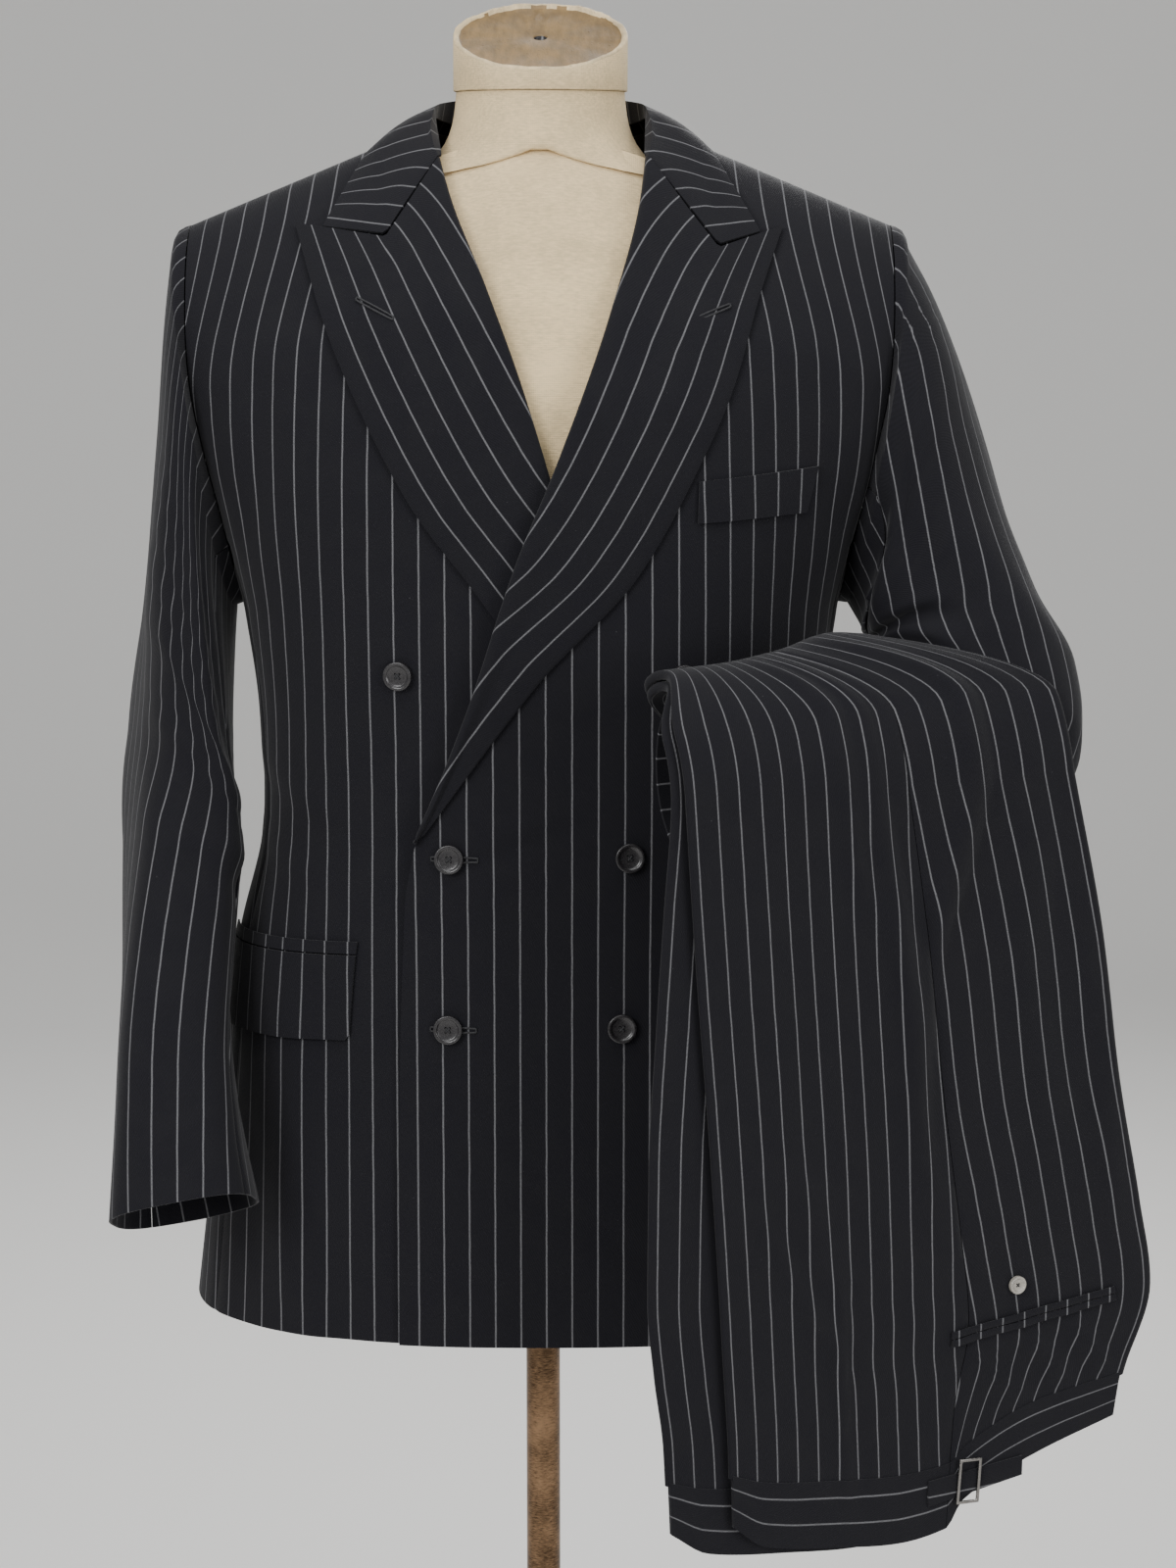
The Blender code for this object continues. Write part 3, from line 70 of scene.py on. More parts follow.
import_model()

# Torso of the jacket: the outer face of the cloth at each height of the centre line.
Level = namedtuple("Level", "height tilt side front back middle")
TORSO = (
    Level(0.722, 0.000, 0.253, 0.151, 0.146, 0.000),
    Level(0.860, 0.000, 0.236, 0.149, 0.147, 0.000),
    Level(0.985, 0.000, 0.219, 0.145, 0.134, 0.000),
    Level(1.080, 0.000, 0.199, 0.140, 0.117, 0.001),
    Level(1.150, 0.000, 0.2015, 0.143, 0.122, 0.003),
    Level(1.225, 0.000, 0.211, 0.149, 0.133, 0.005),
    Level(1.300, 0.060, 0.221, 0.151, 0.139, 0.008),
    Level(1.370, 0.145, 0.232, 0.146, 0.138, 0.010),
    Level(1.440, 0.240, 0.241, 0.134, 0.131, 0.012),
    Level(1.500, 0.320, 0.244, 0.115, 0.112, 0.012),
    Level(1.550, 0.375, 0.245, 0.100, 0.092, 0.012),
    Level(1.5915, 0.412, 0.2455, 0.088, 0.086, 0.012),
)
HEM = TORSO[0].height
SHOULDER = TORSO[-1].height
ROUND_FROM = 1.435
PLAN_POWER = 2.5
ARMPIT = 1.225
ARMHOLE_MIDDLE = 1.400
ARMHOLE_FRONT = 0.074
ARMHOLE_BACK = 0.080
FRONT_SEAM_TOP = 1.262
BACK_SEAM_TOP = 1.300
FRONT_SEAM_HEM_TURN = math.radians(66)
BACK_SEAM_HEM_TURN = math.radians(118)
NECK_SEAM = 1.545
NECK_POINT = 0.076
NECK_LEAN = 0.024
SEAM_GAP = 0.0006

# Fronts
Place = namedtuple("Place", "x z")
BREAK_HEIGHT = 1.075
LEFT_EDGE = (Place(-0.098, 0.70), Place(-0.096, 0.90), Place(-0.091, 1.030), Place(-0.083, 1.075))
LEFT_ROLL = (
    Place(-0.083, 1.075),
    Place(-0.070, 1.102),
    Place(-0.046, 1.165),
    Place(-0.011, 1.270),
    Place(0.016, 1.335),
    Place(0.050, 1.430),
    Place(0.070, 1.505),
    Place(0.076, 1.5600),
)
RIGHT_ROLL = (
    Place(0.083, 1.075),
    Place(0.070, 1.110),
    Place(0.045, 1.190),
    Place(0.007, 1.320),
    Place(-0.013, 1.385),
    Place(-0.037, 1.450),
    Place(-0.060, 1.505),
    Place(-0.076, 1.5600),
)
OVERLAP_LOW = 0.0045
OVERLAP_HIGH = 0.0100
OVERLAP_END = 0.100
OVERLAP_FADE = 0.075
LAPEL_LIFT = 0.0016
LAPEL_OUT = LAPEL_LIFT + 0.0020
UNDER_EDGE_IN = 0.004
LEFT_LAPEL = (
    Place(-0.0760, 1.0830),
    Place(-0.041, 1.133),
    Place(0.001, 1.190),
    Place(0.064, 1.258),
    Place(0.105, 1.331),
    Place(0.129, 1.383),
    Place(0.149, 1.444),
    Place(0.166, 1.4885),
)
RIGHT_LAPEL = (
    Place(0.0760, 1.0830),
    Place(0.041, 1.133),
    Place(-0.001, 1.190),
    Place(-0.045, 1.252),
    Place(-0.083, 1.302),
    Place(-0.114, 1.358),
    Place(-0.142, 1.420),
    Place(-0.167, 1.4905),
)
GORGE_START = 1.533
GORGE_SHARE = 0.5
Front = namedtuple("Front", "roll lapel gorge notch rise stripe")
FRONTS = {
    1: Front(LEFT_ROLL, LEFT_LAPEL, Place(0.1205, 1.4735), Place(0.150, 1.4825), 0.0030, 0.0047),
    -1: Front(RIGHT_ROLL, RIGHT_LAPEL, Place(-0.1025, 1.4805), Place(-0.147, 1.4860), 0.0015, 0.0072),
}
FRONT_COLUMNS = 56
BACK_COLUMNS = 46
SIDE_COLUMNS = 34
SIDE_ROWS = 100
SIDE_STRIPE = 0.006
LAPEL_ROWS = 110
LAPEL_COLUMNS = 34
LAPEL_BEND = 8
LAPEL_STRIPE = 0.0145
LAPEL_HOLE_WIDE = 0.0024

# Collar
COLLAR_FOLD_BACK = np.array((0.0, 0.0930, 1.5840))
COLLAR_FOLD_SIDE = np.array((0.0735, 0.0120, 1.5730))
COLLAR_STAND_BACK = np.array((0.0, 0.0835, 1.5520))
COLLAR_STAND_SIDE = np.array((0.0735, 0.0120, 1.5655))
COLLAR_EDGE_BACK_LEVEL = 1.500
COLLAR_EDGE_SIDE_X = 0.1165
COLLAR_ARCH = 0.006
COLLAR_STRIPE_TILT = 0.115
COLLAR_STRIPE_CROWD = 1.29
COLLAR_SIDE_AT = 0.5
COLLAR_GORGE_STEPS = (0, 0.6, 1)
COLLAR_ROWS = 46
COLLAR_LEAF = 22
COLLAR_STAND = 8
COLLAR_STRIPE = 0.5 * 0.01765

# Pockets and buttons
HIP_POCKET = Place(0.126, 0.996)
HIP_POCKET_LENGTH = 0.152
FLAP_DROP = 0.060
JET_HEIGHT = 0.009
POCKET_SLOPE = -0.055
POCKET_COLUMNS = 48
FLAP_ROWS = 24
FLAP_LIFT = 0.0029
FLAP_WALL = 0.0018
FLAP_BOW = 0.0016
FLAP_CORNER = 0.004
JET_ROWS = 6
JET_LIFT = 0.0028
JET_WALL = 0.0014
WELT_CORNERS = (Place(0.1045, 1.295), Place(0.181, 1.299), Place(0.1900, 1.330), Place(0.1055, 1.322))
FRONT_BUTTONS = {
    "button_upper_right": Place(-0.095, 1.191),
    "button_upper_left": Place(0.095, 1.191),
    "button_middle_right": Place(-0.060, 1.066),
    "button_middle_left": Place(0.0605, 1.067),
    "button_lower_right": Place(-0.062, 0.948),
    "button_lower_left": Place(0.056, 0.949),
}
UNDER_FRONT_BUTTON = "button_upper_right"
SLEEVE_BUTTONS = 4
SLEEVE_BUTTON_FROM_CUFF = 0.034
SLEEVE_BUTTON_STEP = 0.0165
SLEEVE_BUTTON_THICK = 0.8
HOLE_STITCHES = 46
HOLE_SIDES = 6

# Sleeves
Ring = namedtuple("Ring", "row outer_x outer_y outer_z inner_x inner_y inner_z deep power")
HANGING_SLEEVE = (
    Ring(0, 0.2580, 0.008, 1.4750, 0.2190, 0.008, 1.222, 0.088, 2.0),
    Ring(1, 0.2640, 0.006, 1.4230, 0.2205, 0.006, 1.200, 0.091, 2.2),
    Ring(2, 0.2700, 0.003, 1.3550, 0.2215, 0.003, 1.170, 0.089, 2.6),
    Ring(3, 0.2775, -0.001, 1.2850, 0.2222, -0.001, 1.135, 0.085, 3.0),
    Ring(4, 0.2845, -0.007, 1.2100, 0.2220, -0.007, 1.098, 0.080, 3.2),
    Ring(5, 0.2895, -0.020, 1.1400, 0.2215, -0.020, 1.060, 0.075, 3.2),
    Ring(6, 0.2925, -0.044, 1.0700, 0.2210, -0.044, 1.020, 0.068, 3.2),
    Ring(7, 0.2935, -0.076, 1.0000, 0.2190, -0.076, 0.970, 0.061, 3.2),
    Ring(8, 0.2935, -0.108, 0.9330, 0.2150, -0.108, 0.920, 0.054, 3.2),
    Ring(9, 0.2930, -0.136, 0.8730, 0.2060, -0.136, 0.874, 0.049, 3.1),
    Ring(10, 0.2940, -0.160, 0.8120, 0.1950, -0.160, 0.832, 0.045, 3.0),
)
BENT_SLEEVE = (
    Ring(0, 0.2580, 0.008, 1.4750, 0.2190, 0.008, 1.224, 0.086, 2.0),
    Ring(1, 0.2760, 0.004, 1.4420, 0.2250, 0.004, 1.214, 0.087, 2.1),
    Ring(2, 0.2950, -0.004, 1.3960, 0.2285, -0.006, 1.208, 0.083, 2.3),
    Ring(3, 0.3110, -0.014, 1.3450, 0.2300, -0.020, 1.204, 0.077, 2.4),
    Ring(4, 0.3270, -0.026, 1.2910, 0.2320, -0.036, 1.201, 0.070, 2.4),
    Ring(5, 0.3480, -0.041, 1.2360, 0.2340, -0.053, 1.198, 0.063, 2.3),
    Ring(6, 0.3710, -0.061, 1.1820, 0.2360, -0.070, 1.196, 0.057, 2.1),
    Ring(7, 0.3750, -0.079, 1.1300, 0.2370, -0.084, 1.194, 0.052, 2.0),
    Ring(8, 0.3490, -0.093, 1.0880, 0.2365, -0.096, 1.193, 0.048, 2.0),
    Ring(9, 0.3040, -0.120, 1.0730, 0.2320, -0.126, 1.197, 0.045, 2.0),
    Ring(10, 0.2580, -0.148, 1.0740, 0.2180, -0.160, 1.1958, 0.0432, 2.0),
    Ring(11, 0.1900, -0.180, 1.0760, 0.1800, -0.182, 1.1954, 0.0428, 2.0),
    Ring(12, 0.0990, -0.2255, 1.0800, 0.0960, -0.227, 1.1934, 0.0419, 2.0),
)
Arm = namedtuple("Arm", "rings rows side twist back_seam front_seam buttons")
ARMS = {
    "right": Arm(HANGING_SLEEVE, 120, -1, *np.radians((25, -85, 132, -54))),
    "left": Arm(BENT_SLEEVE, 150, 1, *np.radians((90, -118, 110, -101))),
}
SLEEVE_JOIN = 0.0006
RING_SETTLED = 6.0
TWIST_SHARE = 0.55
HEAD_PARTS = (0.2, 0.45, 0.72)
HEAD_SWELL = 0.0042
HANGING_LINE = (Place(0.240, 1.448), Place(0.282, 1.217))
HANGING_LEVELS = (1.14, 1.48)
HANGING_TO = 5.0
HANGING_FADE = 1.8
SLEEVE_STRIPE = 0.004

# Trousers over the forearm
DRAPE_ORIGIN = np.array((0.098, -0.2260))
DRAPE_SLOPE = 0.50
DRAPE_HEIGHT = 1.130
DRAPE_HALF_WIDE = 0.0445
DRAPE_HALF_HIGH = 0.0560
LEG_THICK = 0.0062
LEG_GAP = 0.0012
LEG_SKIN = 0.0012
LEG_COLUMNS = 44
LEG_STRIPE = 0.0085
LEG_FOLD_STEPS = 7
BACK_DROP = 0.400
BACK_LEAN = 0.022
Side = namedtuple("Side", "z left right")
NEAR_LEG = (
    Side(0.600, 0.131, 0.3950),
    Side(0.690, 0.129, 0.4050),
    Side(0.758, 0.125, 0.4250),
    Side(0.822, 0.121, 0.4149),
    Side(0.918, 0.114, 0.3960),
    Side(1.016, 0.106, 0.3820),
    Side(1.130, 0.098, 0.3580),
    Side(1.190, 0.094, 0.3450),
)
FAR_LEG = (
    Side(0.600, 0.090, 0.3850),
    Side(0.700, 0.086, 0.3950),
    Side(0.750, 0.080, 0.4150),
    Side(0.803, 0.0755, 0.4100),
    Side(0.891, 0.076, 0.3950),
    Side(0.995, 0.081, 0.3750),
    Side(1.063, 0.085, 0.3620),
    Side(1.130, 0.089, 0.3500),
    Side(1.190, 0.086, 0.3400),
)
LEGS = {"near": NEAR_LEG, "far": FAR_LEG}
LEG_OUT = {"far": LEG_SKIN, "near": LEG_SKIN + LEG_THICK + LEG_GAP}
BACK_LEFT = -0.016
BACK_LEFT_LOW = 0.026
BACK_LEFT_FROM = math.radians(25)
BACK_LEFT_OVER = math.radians(60)
BACK_RIGHT = 0.134
TURN_BACK_FROM = math.radians(56)
Crest = namedtuple("Crest", "share rise")
CRESTS = (Crest(0.0, 0.0075), Crest(0.3, 0.0095), Crest(0.6, 0.016), Crest(0.85, 0.025), Crest(1.0, 0.023))
SIDE_SEAM_SHARE = 0.56
LEG_SEAM_SHARE = 0.0008
Waist = namedtuple("Waist", "share seam edge")
WAISTLINE = (
    Waist(0.00, 0.6740, 0.6400),
    Waist(0.08, 0.6650, 0.6220),
    Waist(0.25, 0.6570, 0.6120),
    Waist(0.45, 0.6510, 0.6050),
    Waist(0.56, 0.6530, 0.6090),
    Waist(0.60, 0.6640, 0.6270),
    Waist(0.78, 0.6870, 0.6500),
    Waist(1.00, 0.6960, 0.6680),
)
WAISTBAND_THICK = 0.0035
WAISTBAND_LAP = 0.0025
WAISTBAND_ROWS = 16
WAISTBAND_WIDE = 0.046
WAISTBAND_STRIPE = 0.0115
PATCH_LIFT = 0.0006
POCKET_JET_UPPER = (Place(0.281, 0.7450), Place(0.401, 0.7580), Place(0.400, 0.7630), Place(0.281, 0.7500))
POCKET_JET_LOWER = (Place(0.281, 0.7394), Place(0.402, 0.7524), Place(0.401, 0.7574), Place(0.281, 0.7444))
POCKET_BUTTON = Place(0.3269, 0.7760)
POCKET_BUTTON_WIDE = 0.0125
POCKET_BUTTON_THICK = 0.0034
STRAP = (Place(0.266, 0.6280), Place(0.334, 0.6380), Place(0.334, 0.6520), Place(0.266, 0.6460))
BUCKLE_MIDDLE = Place(0.2945, 0.6420)
BUCKLE_WIDE = 0.016
BUCKLE_HIGH = 0.030
BUCKLE_WIRE = 0.0022
BUCKLE_LIFT = 0.0032

# Dress form and stand
FORM_GAP = 0.0080
FORM_BOTTOM = 0.790
NECK_RADIUS = 0.059
NECK_TOP = 1.582
NECK_MIDDLE = 0.014
NECK_ROWS = 41
NECK_PASSES = 10
CAP_RADIUS = 0.061
CAP_THICK = 0.014
CAP_HOLE = 0.0046
CAP_INSETS = ((0.0035, 0), (0.0012, -0.0022), (0.030, 0.0006), (0.0215, 0), (0.0004, -0.006))
CAP_RAGGED = ((0.5, 7, 0.6), (0.35, 17, 2), (0.25, 41, 0))
CAP_TILT = math.radians(22.3)
POLE_RADIUS = 0.0125
BASE_RADIUS = 0.195
BASE_THICK = 0.022
SOCKET_RADIUS = 0.021
SOCKET_HEIGHT = 0.036
SOCKET_TOP = 0.7834

# Backdrop
SWEEP_AT = 3.6
SWEEP_RADIUS = 2.4
FLOOR_REACH = 40.0

# Creases: a line in the cloth's own plane, its half width and its height. A trough is negative.
Crease = namedtuple("Crease", "a b a2 b2 wide deep")
FRONT_CREASES = (
    Crease(-0.060, 0.858, 0.062, 0.786, 0.010, -0.0016),
    Crease(-0.040, 0.835, 0.070, 0.768, 0.012, 0.0010),
    Crease(-0.178, 0.960, -0.168, 0.730, 0.016, 0.0030),
    Crease(-0.205, 0.950, -0.210, 0.730, 0.014, -0.0018),
    Crease(0.196, 0.960, 0.205, 0.730, 0.018, 0.0030),
    Crease(0.160, 0.940, 0.150, 0.740, 0.018, -0.0018),
    Crease(-0.056, 1.062, 0.020, 1.085, 0.007, -0.0008),
    Crease(-0.052, 1.052, 0.012, 1.020, 0.008, 0.0007),
    Crease(-0.190, 1.420, -0.200, 1.290, 0.014, -0.0022),
    Crease(0.194, 1.420, 0.204, 1.290, 0.014, -0.0022),
    Crease(-0.120, 1.300, -0.150, 1.080, 0.030, 0.0016),
    Crease(0.130, 1.280, 0.160, 1.080, 0.030, 0.0016),
    Crease(-0.200, 1.110, -0.150, 1.080, 0.010, -0.0014),
    Crease(-0.204, 1.075, -0.160, 1.050, 0.009, 0.0010),
)
BACK_CREASES = (
    Crease(-0.060, 1.450, -0.120, 1.300, 0.024, -0.0024),
    Crease(0.060, 1.450, 0.125, 1.290, 0.024, -0.0024),
    Crease(-0.175, 1.400, -0.195, 1.240, 0.016, 0.0030),
    Crease(0.175, 1.400, 0.195, 1.240, 0.016, 0.0030),
    Crease(-0.110, 1.130, 0.000, 1.105, 0.012, -0.0016),
    Crease(0.010, 1.110, 0.120, 1.135, 0.012, -0.0016),
    Crease(-0.150, 1.080, -0.040, 1.060, 0.011, 0.0012),
    Crease(0.040, 1.062, 0.150, 1.085, 0.011, 0.0012),
    Crease(-0.110, 0.950, -0.125, 0.730, 0.022, 0.0026),
    Crease(0.100, 0.960, 0.118, 0.730, 0.022, 0.0026),
    Crease(-0.050, 0.930, -0.045, 0.730, 0.018, -0.0016),
    Crease(0.046, 0.930, 0.050, 0.730, 0.018, -0.0016),
)
RIGHT_SLEEVE_CREASES = (
    Crease(0.040, 0.060, 0.062, 0.260, 0.0150, -0.0016),
    Crease(0.015, 0.080, 0.030, 0.300, 0.0187, 0.0014),
    Crease(0.070, 0.330, 0.000, 0.372, 0.0125, -0.0016),
    Crease(0.080, 0.368, 0.015, 0.392, 0.0112, 0.0012),
    Crease(0.075, 0.402, -0.010, 0.425, 0.0125, -0.0015),
    Crease(-0.070, 0.350, -0.020, 0.400, 0.0150, -0.0011),
    Crease(0.050, 0.460, 0.040, 0.600, 0.0175, 0.0010),
    Crease(-0.060, 0.120, -0.075, 0.320, 0.0200, 0.0012),
)
LEFT_SLEEVE_CREASES = (
    Crease(0.055, 0.050, 0.085, 0.230, 0.0163, -0.0021),
    Crease(0.030, 0.060, 0.048, 0.260, 0.0175, 0.0017),
    Crease(0.000, 0.090, 0.010, 0.280, 0.0163, -0.0015),
    Crease(-0.040, 0.080, -0.035, 0.290, 0.0200, 0.0016),
    Crease(0.090, 0.255, 0.030, 0.300, 0.0125, -0.0025),
    Crease(0.100, 0.280, 0.040, 0.330, 0.0125, 0.0022),
    Crease(0.105, 0.305, 0.045, 0.350, 0.0112, -0.0025),
    Crease(-0.080, 0.280, -0.020, 0.330, 0.0137, -0.0019),
    Crease(-0.090, 0.320, -0.030, 0.360, 0.0137, 0.0019),
    Crease(-0.070, 0.370, -0.015, 0.390, 0.0125, -0.0016),
)
LEG_CREASES = (
    Crease(0.193, 1.172, 0.217, 1.060, 0.008, 0.0048),
    Crease(0.218, 1.160, 0.246, 0.986, 0.009, 0.0055),
    Crease(0.301, 1.150, 0.262, 1.030, 0.010, 0.0060),
    Crease(0.262, 1.030, 0.255, 0.900, 0.010, 0.0040),
    Crease(0.232, 1.060, 0.268, 0.850, 0.010, 0.0036),
    Crease(0.325, 1.100, 0.345, 0.900, 0.014, 0.0030),
    Crease(0.150, 1.100, 0.160, 0.900, 0.012, 0.0016),
    Crease(0.170, 0.880, 0.200, 0.760, 0.012, 0.0026),
    Crease(0.202, 0.800, 0.208, 0.660, 0.005, 0.0032),
    Crease(0.152, 0.845, 0.202, 0.735, 0.007, 0.0026),
    Crease(0.290, 0.740, 0.330, 0.700, 0.008, 0.0030),
    Crease(0.330, 0.742, 0.365, 0.700, 0.008, 0.0026),
    Crease(0.370, 0.745, 0.395, 0.705, 0.008, 0.0030),
    Crease(0.380, 1.000, 0.405, 0.800, 0.012, 0.0026),
)
FAR_LEG_CREASES = (
    Crease(0.100, 1.000, 0.095, 0.750, 0.010, 0.0008),
)


def read(table, column, at):
    """The column's value at one or more places of the table's first column, by a smooth curve."""
    key = np.array([row[0] for row in table], float)
    value = np.array([getattr(row, column) for row in table], float)
    step = np.diff(key)
    slope = np.diff(value) / step
    joint = np.zeros(len(key))
    same = slope[:-1] * slope[1:] > 0
    weight = (step[:-1] + step[1:])[same]
    joint[1:-1][same] = 2 * weight / (weight / slope[:-1][same] + weight / slope[1:][same])
    joint[0] = slope[0]
    joint[-1] = slope[-1]
    at = np.clip(np.asarray(at, float), key[0], key[-1])
    cell = np.clip(np.searchsorted(key, at, side="right") - 1, 0, len(key) - 2)
    part = (at - key[cell]) / step[cell]
    return (
        value[cell] * (1 + 2 * part) * (1 - part) ** 2
        + joint[cell] * step[cell] * part * (1 - part) ** 2
        + value[cell + 1] * part**2 * (3 - 2 * part)
        + joint[cell + 1] * step[cell] * part**2 * (part - 1)
    )


def by_height(places):
    """The same places as rows that read() can look up by height."""
    row = namedtuple("ByHeight", "z x")
    return tuple(row(place.z, place.x) for place in sorted(places, key=lambda p: p.z))


def smooth(value):
    value = np.clip(value, 0, 1)
    return value * value * (3 - 2 * value)


def mix(first, second, share):
    return first + (second - first) * share


def run_along(points):
    """How far along a line of points each of them lies."""
    return np.concatenate(([0], np.cumsum(np.linalg.norm(np.diff(points, axis=0), axis=1))))


def run_across(points):
    """How far along its row each point of a grid lies."""
    gap = np.linalg.norm(np.diff(points, axis=1), axis=-1)
    return np.concatenate((np.zeros((len(points), 1)), np.cumsum(gap, axis=1)), axis=1)


def along_line(at, run, line):
    """The points at these distances of a line whose own points lie at the distances of run."""
    return np.stack([np.interp(at, run, line[:, axis]) for axis in range(3)], axis=-1)


def ripple(creases, a, b):
    """Height of the cloth's folds at places in its own plane, each fold fading towards its ends."""
    total = np.zeros(np.broadcast(a, b).shape)
    for fold in creases:
        along = np.array((fold.a2 - fold.a, fold.b2 - fold.b))
        length = np.linalg.norm(along)
        along = along / length
        part = (a - fold.a) * along[0] + (b - fold.b) * along[1]
        off = (b - fold.b) * along[0] - (a - fold.a) * along[1]
        off = off + fold.wide * 0.35 * np.sin(part * 31.0 + fold.a * 90.0)
        end = 0.6 * length
        fade = smooth((part + 0.35 * length) / end) * smooth((1.35 * length - part) / end)
        crest = np.exp(-((off / fold.wide) ** 2))
        trough = np.exp(-(((off - 1.7 * fold.wide) / fold.wide) ** 2))
        total = total + fold.deep * fade * (crest - 0.45 * trough)
    return total


def round_off(height):
    """How far the front and back stand off the shoulder seam, from 1 down to 0 at the seam."""
    share = np.clip((height - ROUND_FROM) / (SHOULDER - ROUND_FROM), 0, 1)
    return np.sqrt(1 - share**2)


def arm_share(height, half_depth):
    """The armhole's half depth at this level, before the shoulder's rounding."""
    share = np.clip((ARMHOLE_MIDDLE - height) / (ARMHOLE_MIDDLE - ARMPIT), 0, 1)
    return np.where(height > ARMPIT, half_depth * np.sqrt(1 - share**2), 0)


def plan(turn, height):
    """(reach, depth) of the level's half outline on the side that this turn faces."""
    ahead = np.cos(turn) >= 0
    depth = np.where(ahead, read(TORSO, "front", height), read(TORSO, "back", height))
    arm = np.where(ahead, arm_share(height, ARMHOLE_FRONT), arm_share(height, ARMHOLE_BACK))
    side = read(TORSO, "side", height)
    return side / (1 - (arm / depth) ** PLAN_POWER) ** (1 / PLAN_POWER), depth


def torso(turn, height):
    """Points of the jacket's outer face. A turn of 0 is the centre front, a quarter turn the left side."""
    turn, height = np.broadcast_arrays(np.asarray(turn, float), np.asarray(height, float))
    reach, depth = plan(turn, height)
    across = np.sin(turn)
    along = np.cos(turn)
    x = reach * np.sign(across) * np.abs(across) ** (2 / PLAN_POWER)
    y = -depth * round_off(height) * np.sign(along) * np.abs(along) ** (2 / PLAN_POWER)
    z = height - read(TORSO, "tilt", height) * np.abs(x)
    return np.stack((x, y + read(TORSO, "middle", height), z), axis=-1)


def torso_normal(turn, height):
    small = 1e-4
    turn, height = np.broadcast_arrays(np.asarray(turn, float), np.asarray(height, float))
    low = np.maximum(height - small, HEM)
    high = np.minimum(height + small, SHOULDER)
    round_body = torso(turn + small, height) - torso(turn - small, height)
    up_body = torso(turn, high) - torso(turn, low)
    normal = np.cross(round_body, up_body)
    return normal / np.maximum(np.linalg.norm(normal, axis=-1, keepdims=True), 1e-12)


def offset(turn, height, out):
    return torso(turn, height) + torso_normal(turn, height) * np.asarray(out, float)[..., None]


def turn_at(x, height, behind=False):
    """The turn that has this x at this level."""
    x, height = np.broadcast_arrays(np.asarray(x, float), np.asarray(height, float))
    facing = np.full(height.shape, math.pi if behind else 0.0)
    reach, _ = plan(facing, height)
    share = np.clip(np.abs(x) / reach, 0, 1) ** (PLAN_POWER / 2)
    turn = np.sign(x) * np.arcsin(share)
    return np.where(x < 0, -1, 1) * math.pi - turn if behind else turn


def level_at(x, z):
    """The level whose tilted line passes through this x and z."""
    x, z = np.broadcast_arrays(np.asarray(x, float), np.asarray(z, float))
    height = z.copy()
    for _ in range(30):
        height = np.clip(z + read(TORSO, "tilt", height) * np.abs(x), HEM, SHOULDER)
    return height


def armhole_turn(height, behind=False):
    return np.abs(turn_at(read(TORSO, "side", height), height, behind))


def front_seam_turn(height):
    """The seam between front and side panel, then the armhole's front edge."""
    height = np.asarray(height, float)
    top = armhole_turn(np.array(FRONT_SEAM_TOP))
    below = mix(FRONT_SEAM_HEM_TURN, top, smooth((height - HEM) / (FRONT_SEAM_TOP - HEM)))
    return np.where(height < FRONT_SEAM_TOP, below, armhole_turn(height))


def back_seam_turn(height):
    height = np.asarray(height, float)
    top = armhole_turn(np.array(BACK_SEAM_TOP), behind=True)
    below = mix(BACK_SEAM_HEM_TURN, top, smooth((height - HEM) / (BACK_SEAM_TOP - HEM)))
    return np.where(height < BACK_SEAM_TOP, below, armhole_turn(height, behind=True))


def spread(first, last, height, columns):
    """Turns from first to last at this level, evenly spaced along the cloth."""
    dense = np.linspace(first, last, 160)
    points = torso(dense, height)
    run = run_along(points)
    wanted = np.linspace(SEAM_GAP / 2, run[-1] - SEAM_GAP / 2, columns)
    return np.interp(wanted, run, dense)


def girth(turns, levels, behind=False):
    """Signed distance round the cloth from the centre front, or from the centre back."""
    dense = np.linspace(0, math.pi, 500)
    result = np.zeros(turns.shape)
    for row in range(turns.shape[0]):
        level = float(np.mean(levels[row]))
        points = torso(dense, min(level, SHOULDER - 0.02))
        run = run_along(points)
        whole = run[-1]
        here = np.interp(np.abs(turns[row]), dense, run)
        result[row] = np.sign(turns[row]) * ((whole - here) if behind else here)
    return result


def grain(turns, levels, behind=False):
    """The girth below the shoulders. Above, stripes go straight up, and in front they lean to the neck."""
    points = torso(turns, levels)
    base = np.minimum(levels, ROUND_FROM)
    straight = np.where(levels > ROUND_FROM, turn_at(points[..., 0], base, behind), turns)
    lean = 0.0 if behind else NECK_LEAN * smooth((levels - ROUND_FROM) / (SHOULDER - ROUND_FROM))
    return girth(straight, base, behind) + np.sign(turns) * lean


def panel_levels(seam_top, lower_rows, upper_rows):
    """Levels from the hem to the seam's top and on to the shoulder, closer where it rounds over."""
    lower = np.linspace(HEM, seam_top, lower_rows)
    straight = np.linspace(seam_top, ROUND_FROM, upper_rows // 2 + 1)[1:]
    angle = np.linspace(0, math.pi / 2, upper_rows - upper_rows // 2 + 1)[1:]
    rounded = ROUND_FROM + (SHOULDER - ROUND_FROM) * np.sin(angle)
    return np.concatenate((lower, straight, rounded))


def body_folds(turn, height):
    """Height of the jacket's folds on its body, smooth over the sides."""
    points = torso(turn, height)
    front = ripple(FRONT_CREASES, points[..., 0], points[..., 2])
    behind = ripple(BACK_CREASES, points[..., 0], points[..., 2])
    share = smooth(0.5 + 0.9 * np.cos(turn))
    quiet = 1 - smooth((height - 1.44) / 0.08)
    return mix(behind, front, share) * quiet


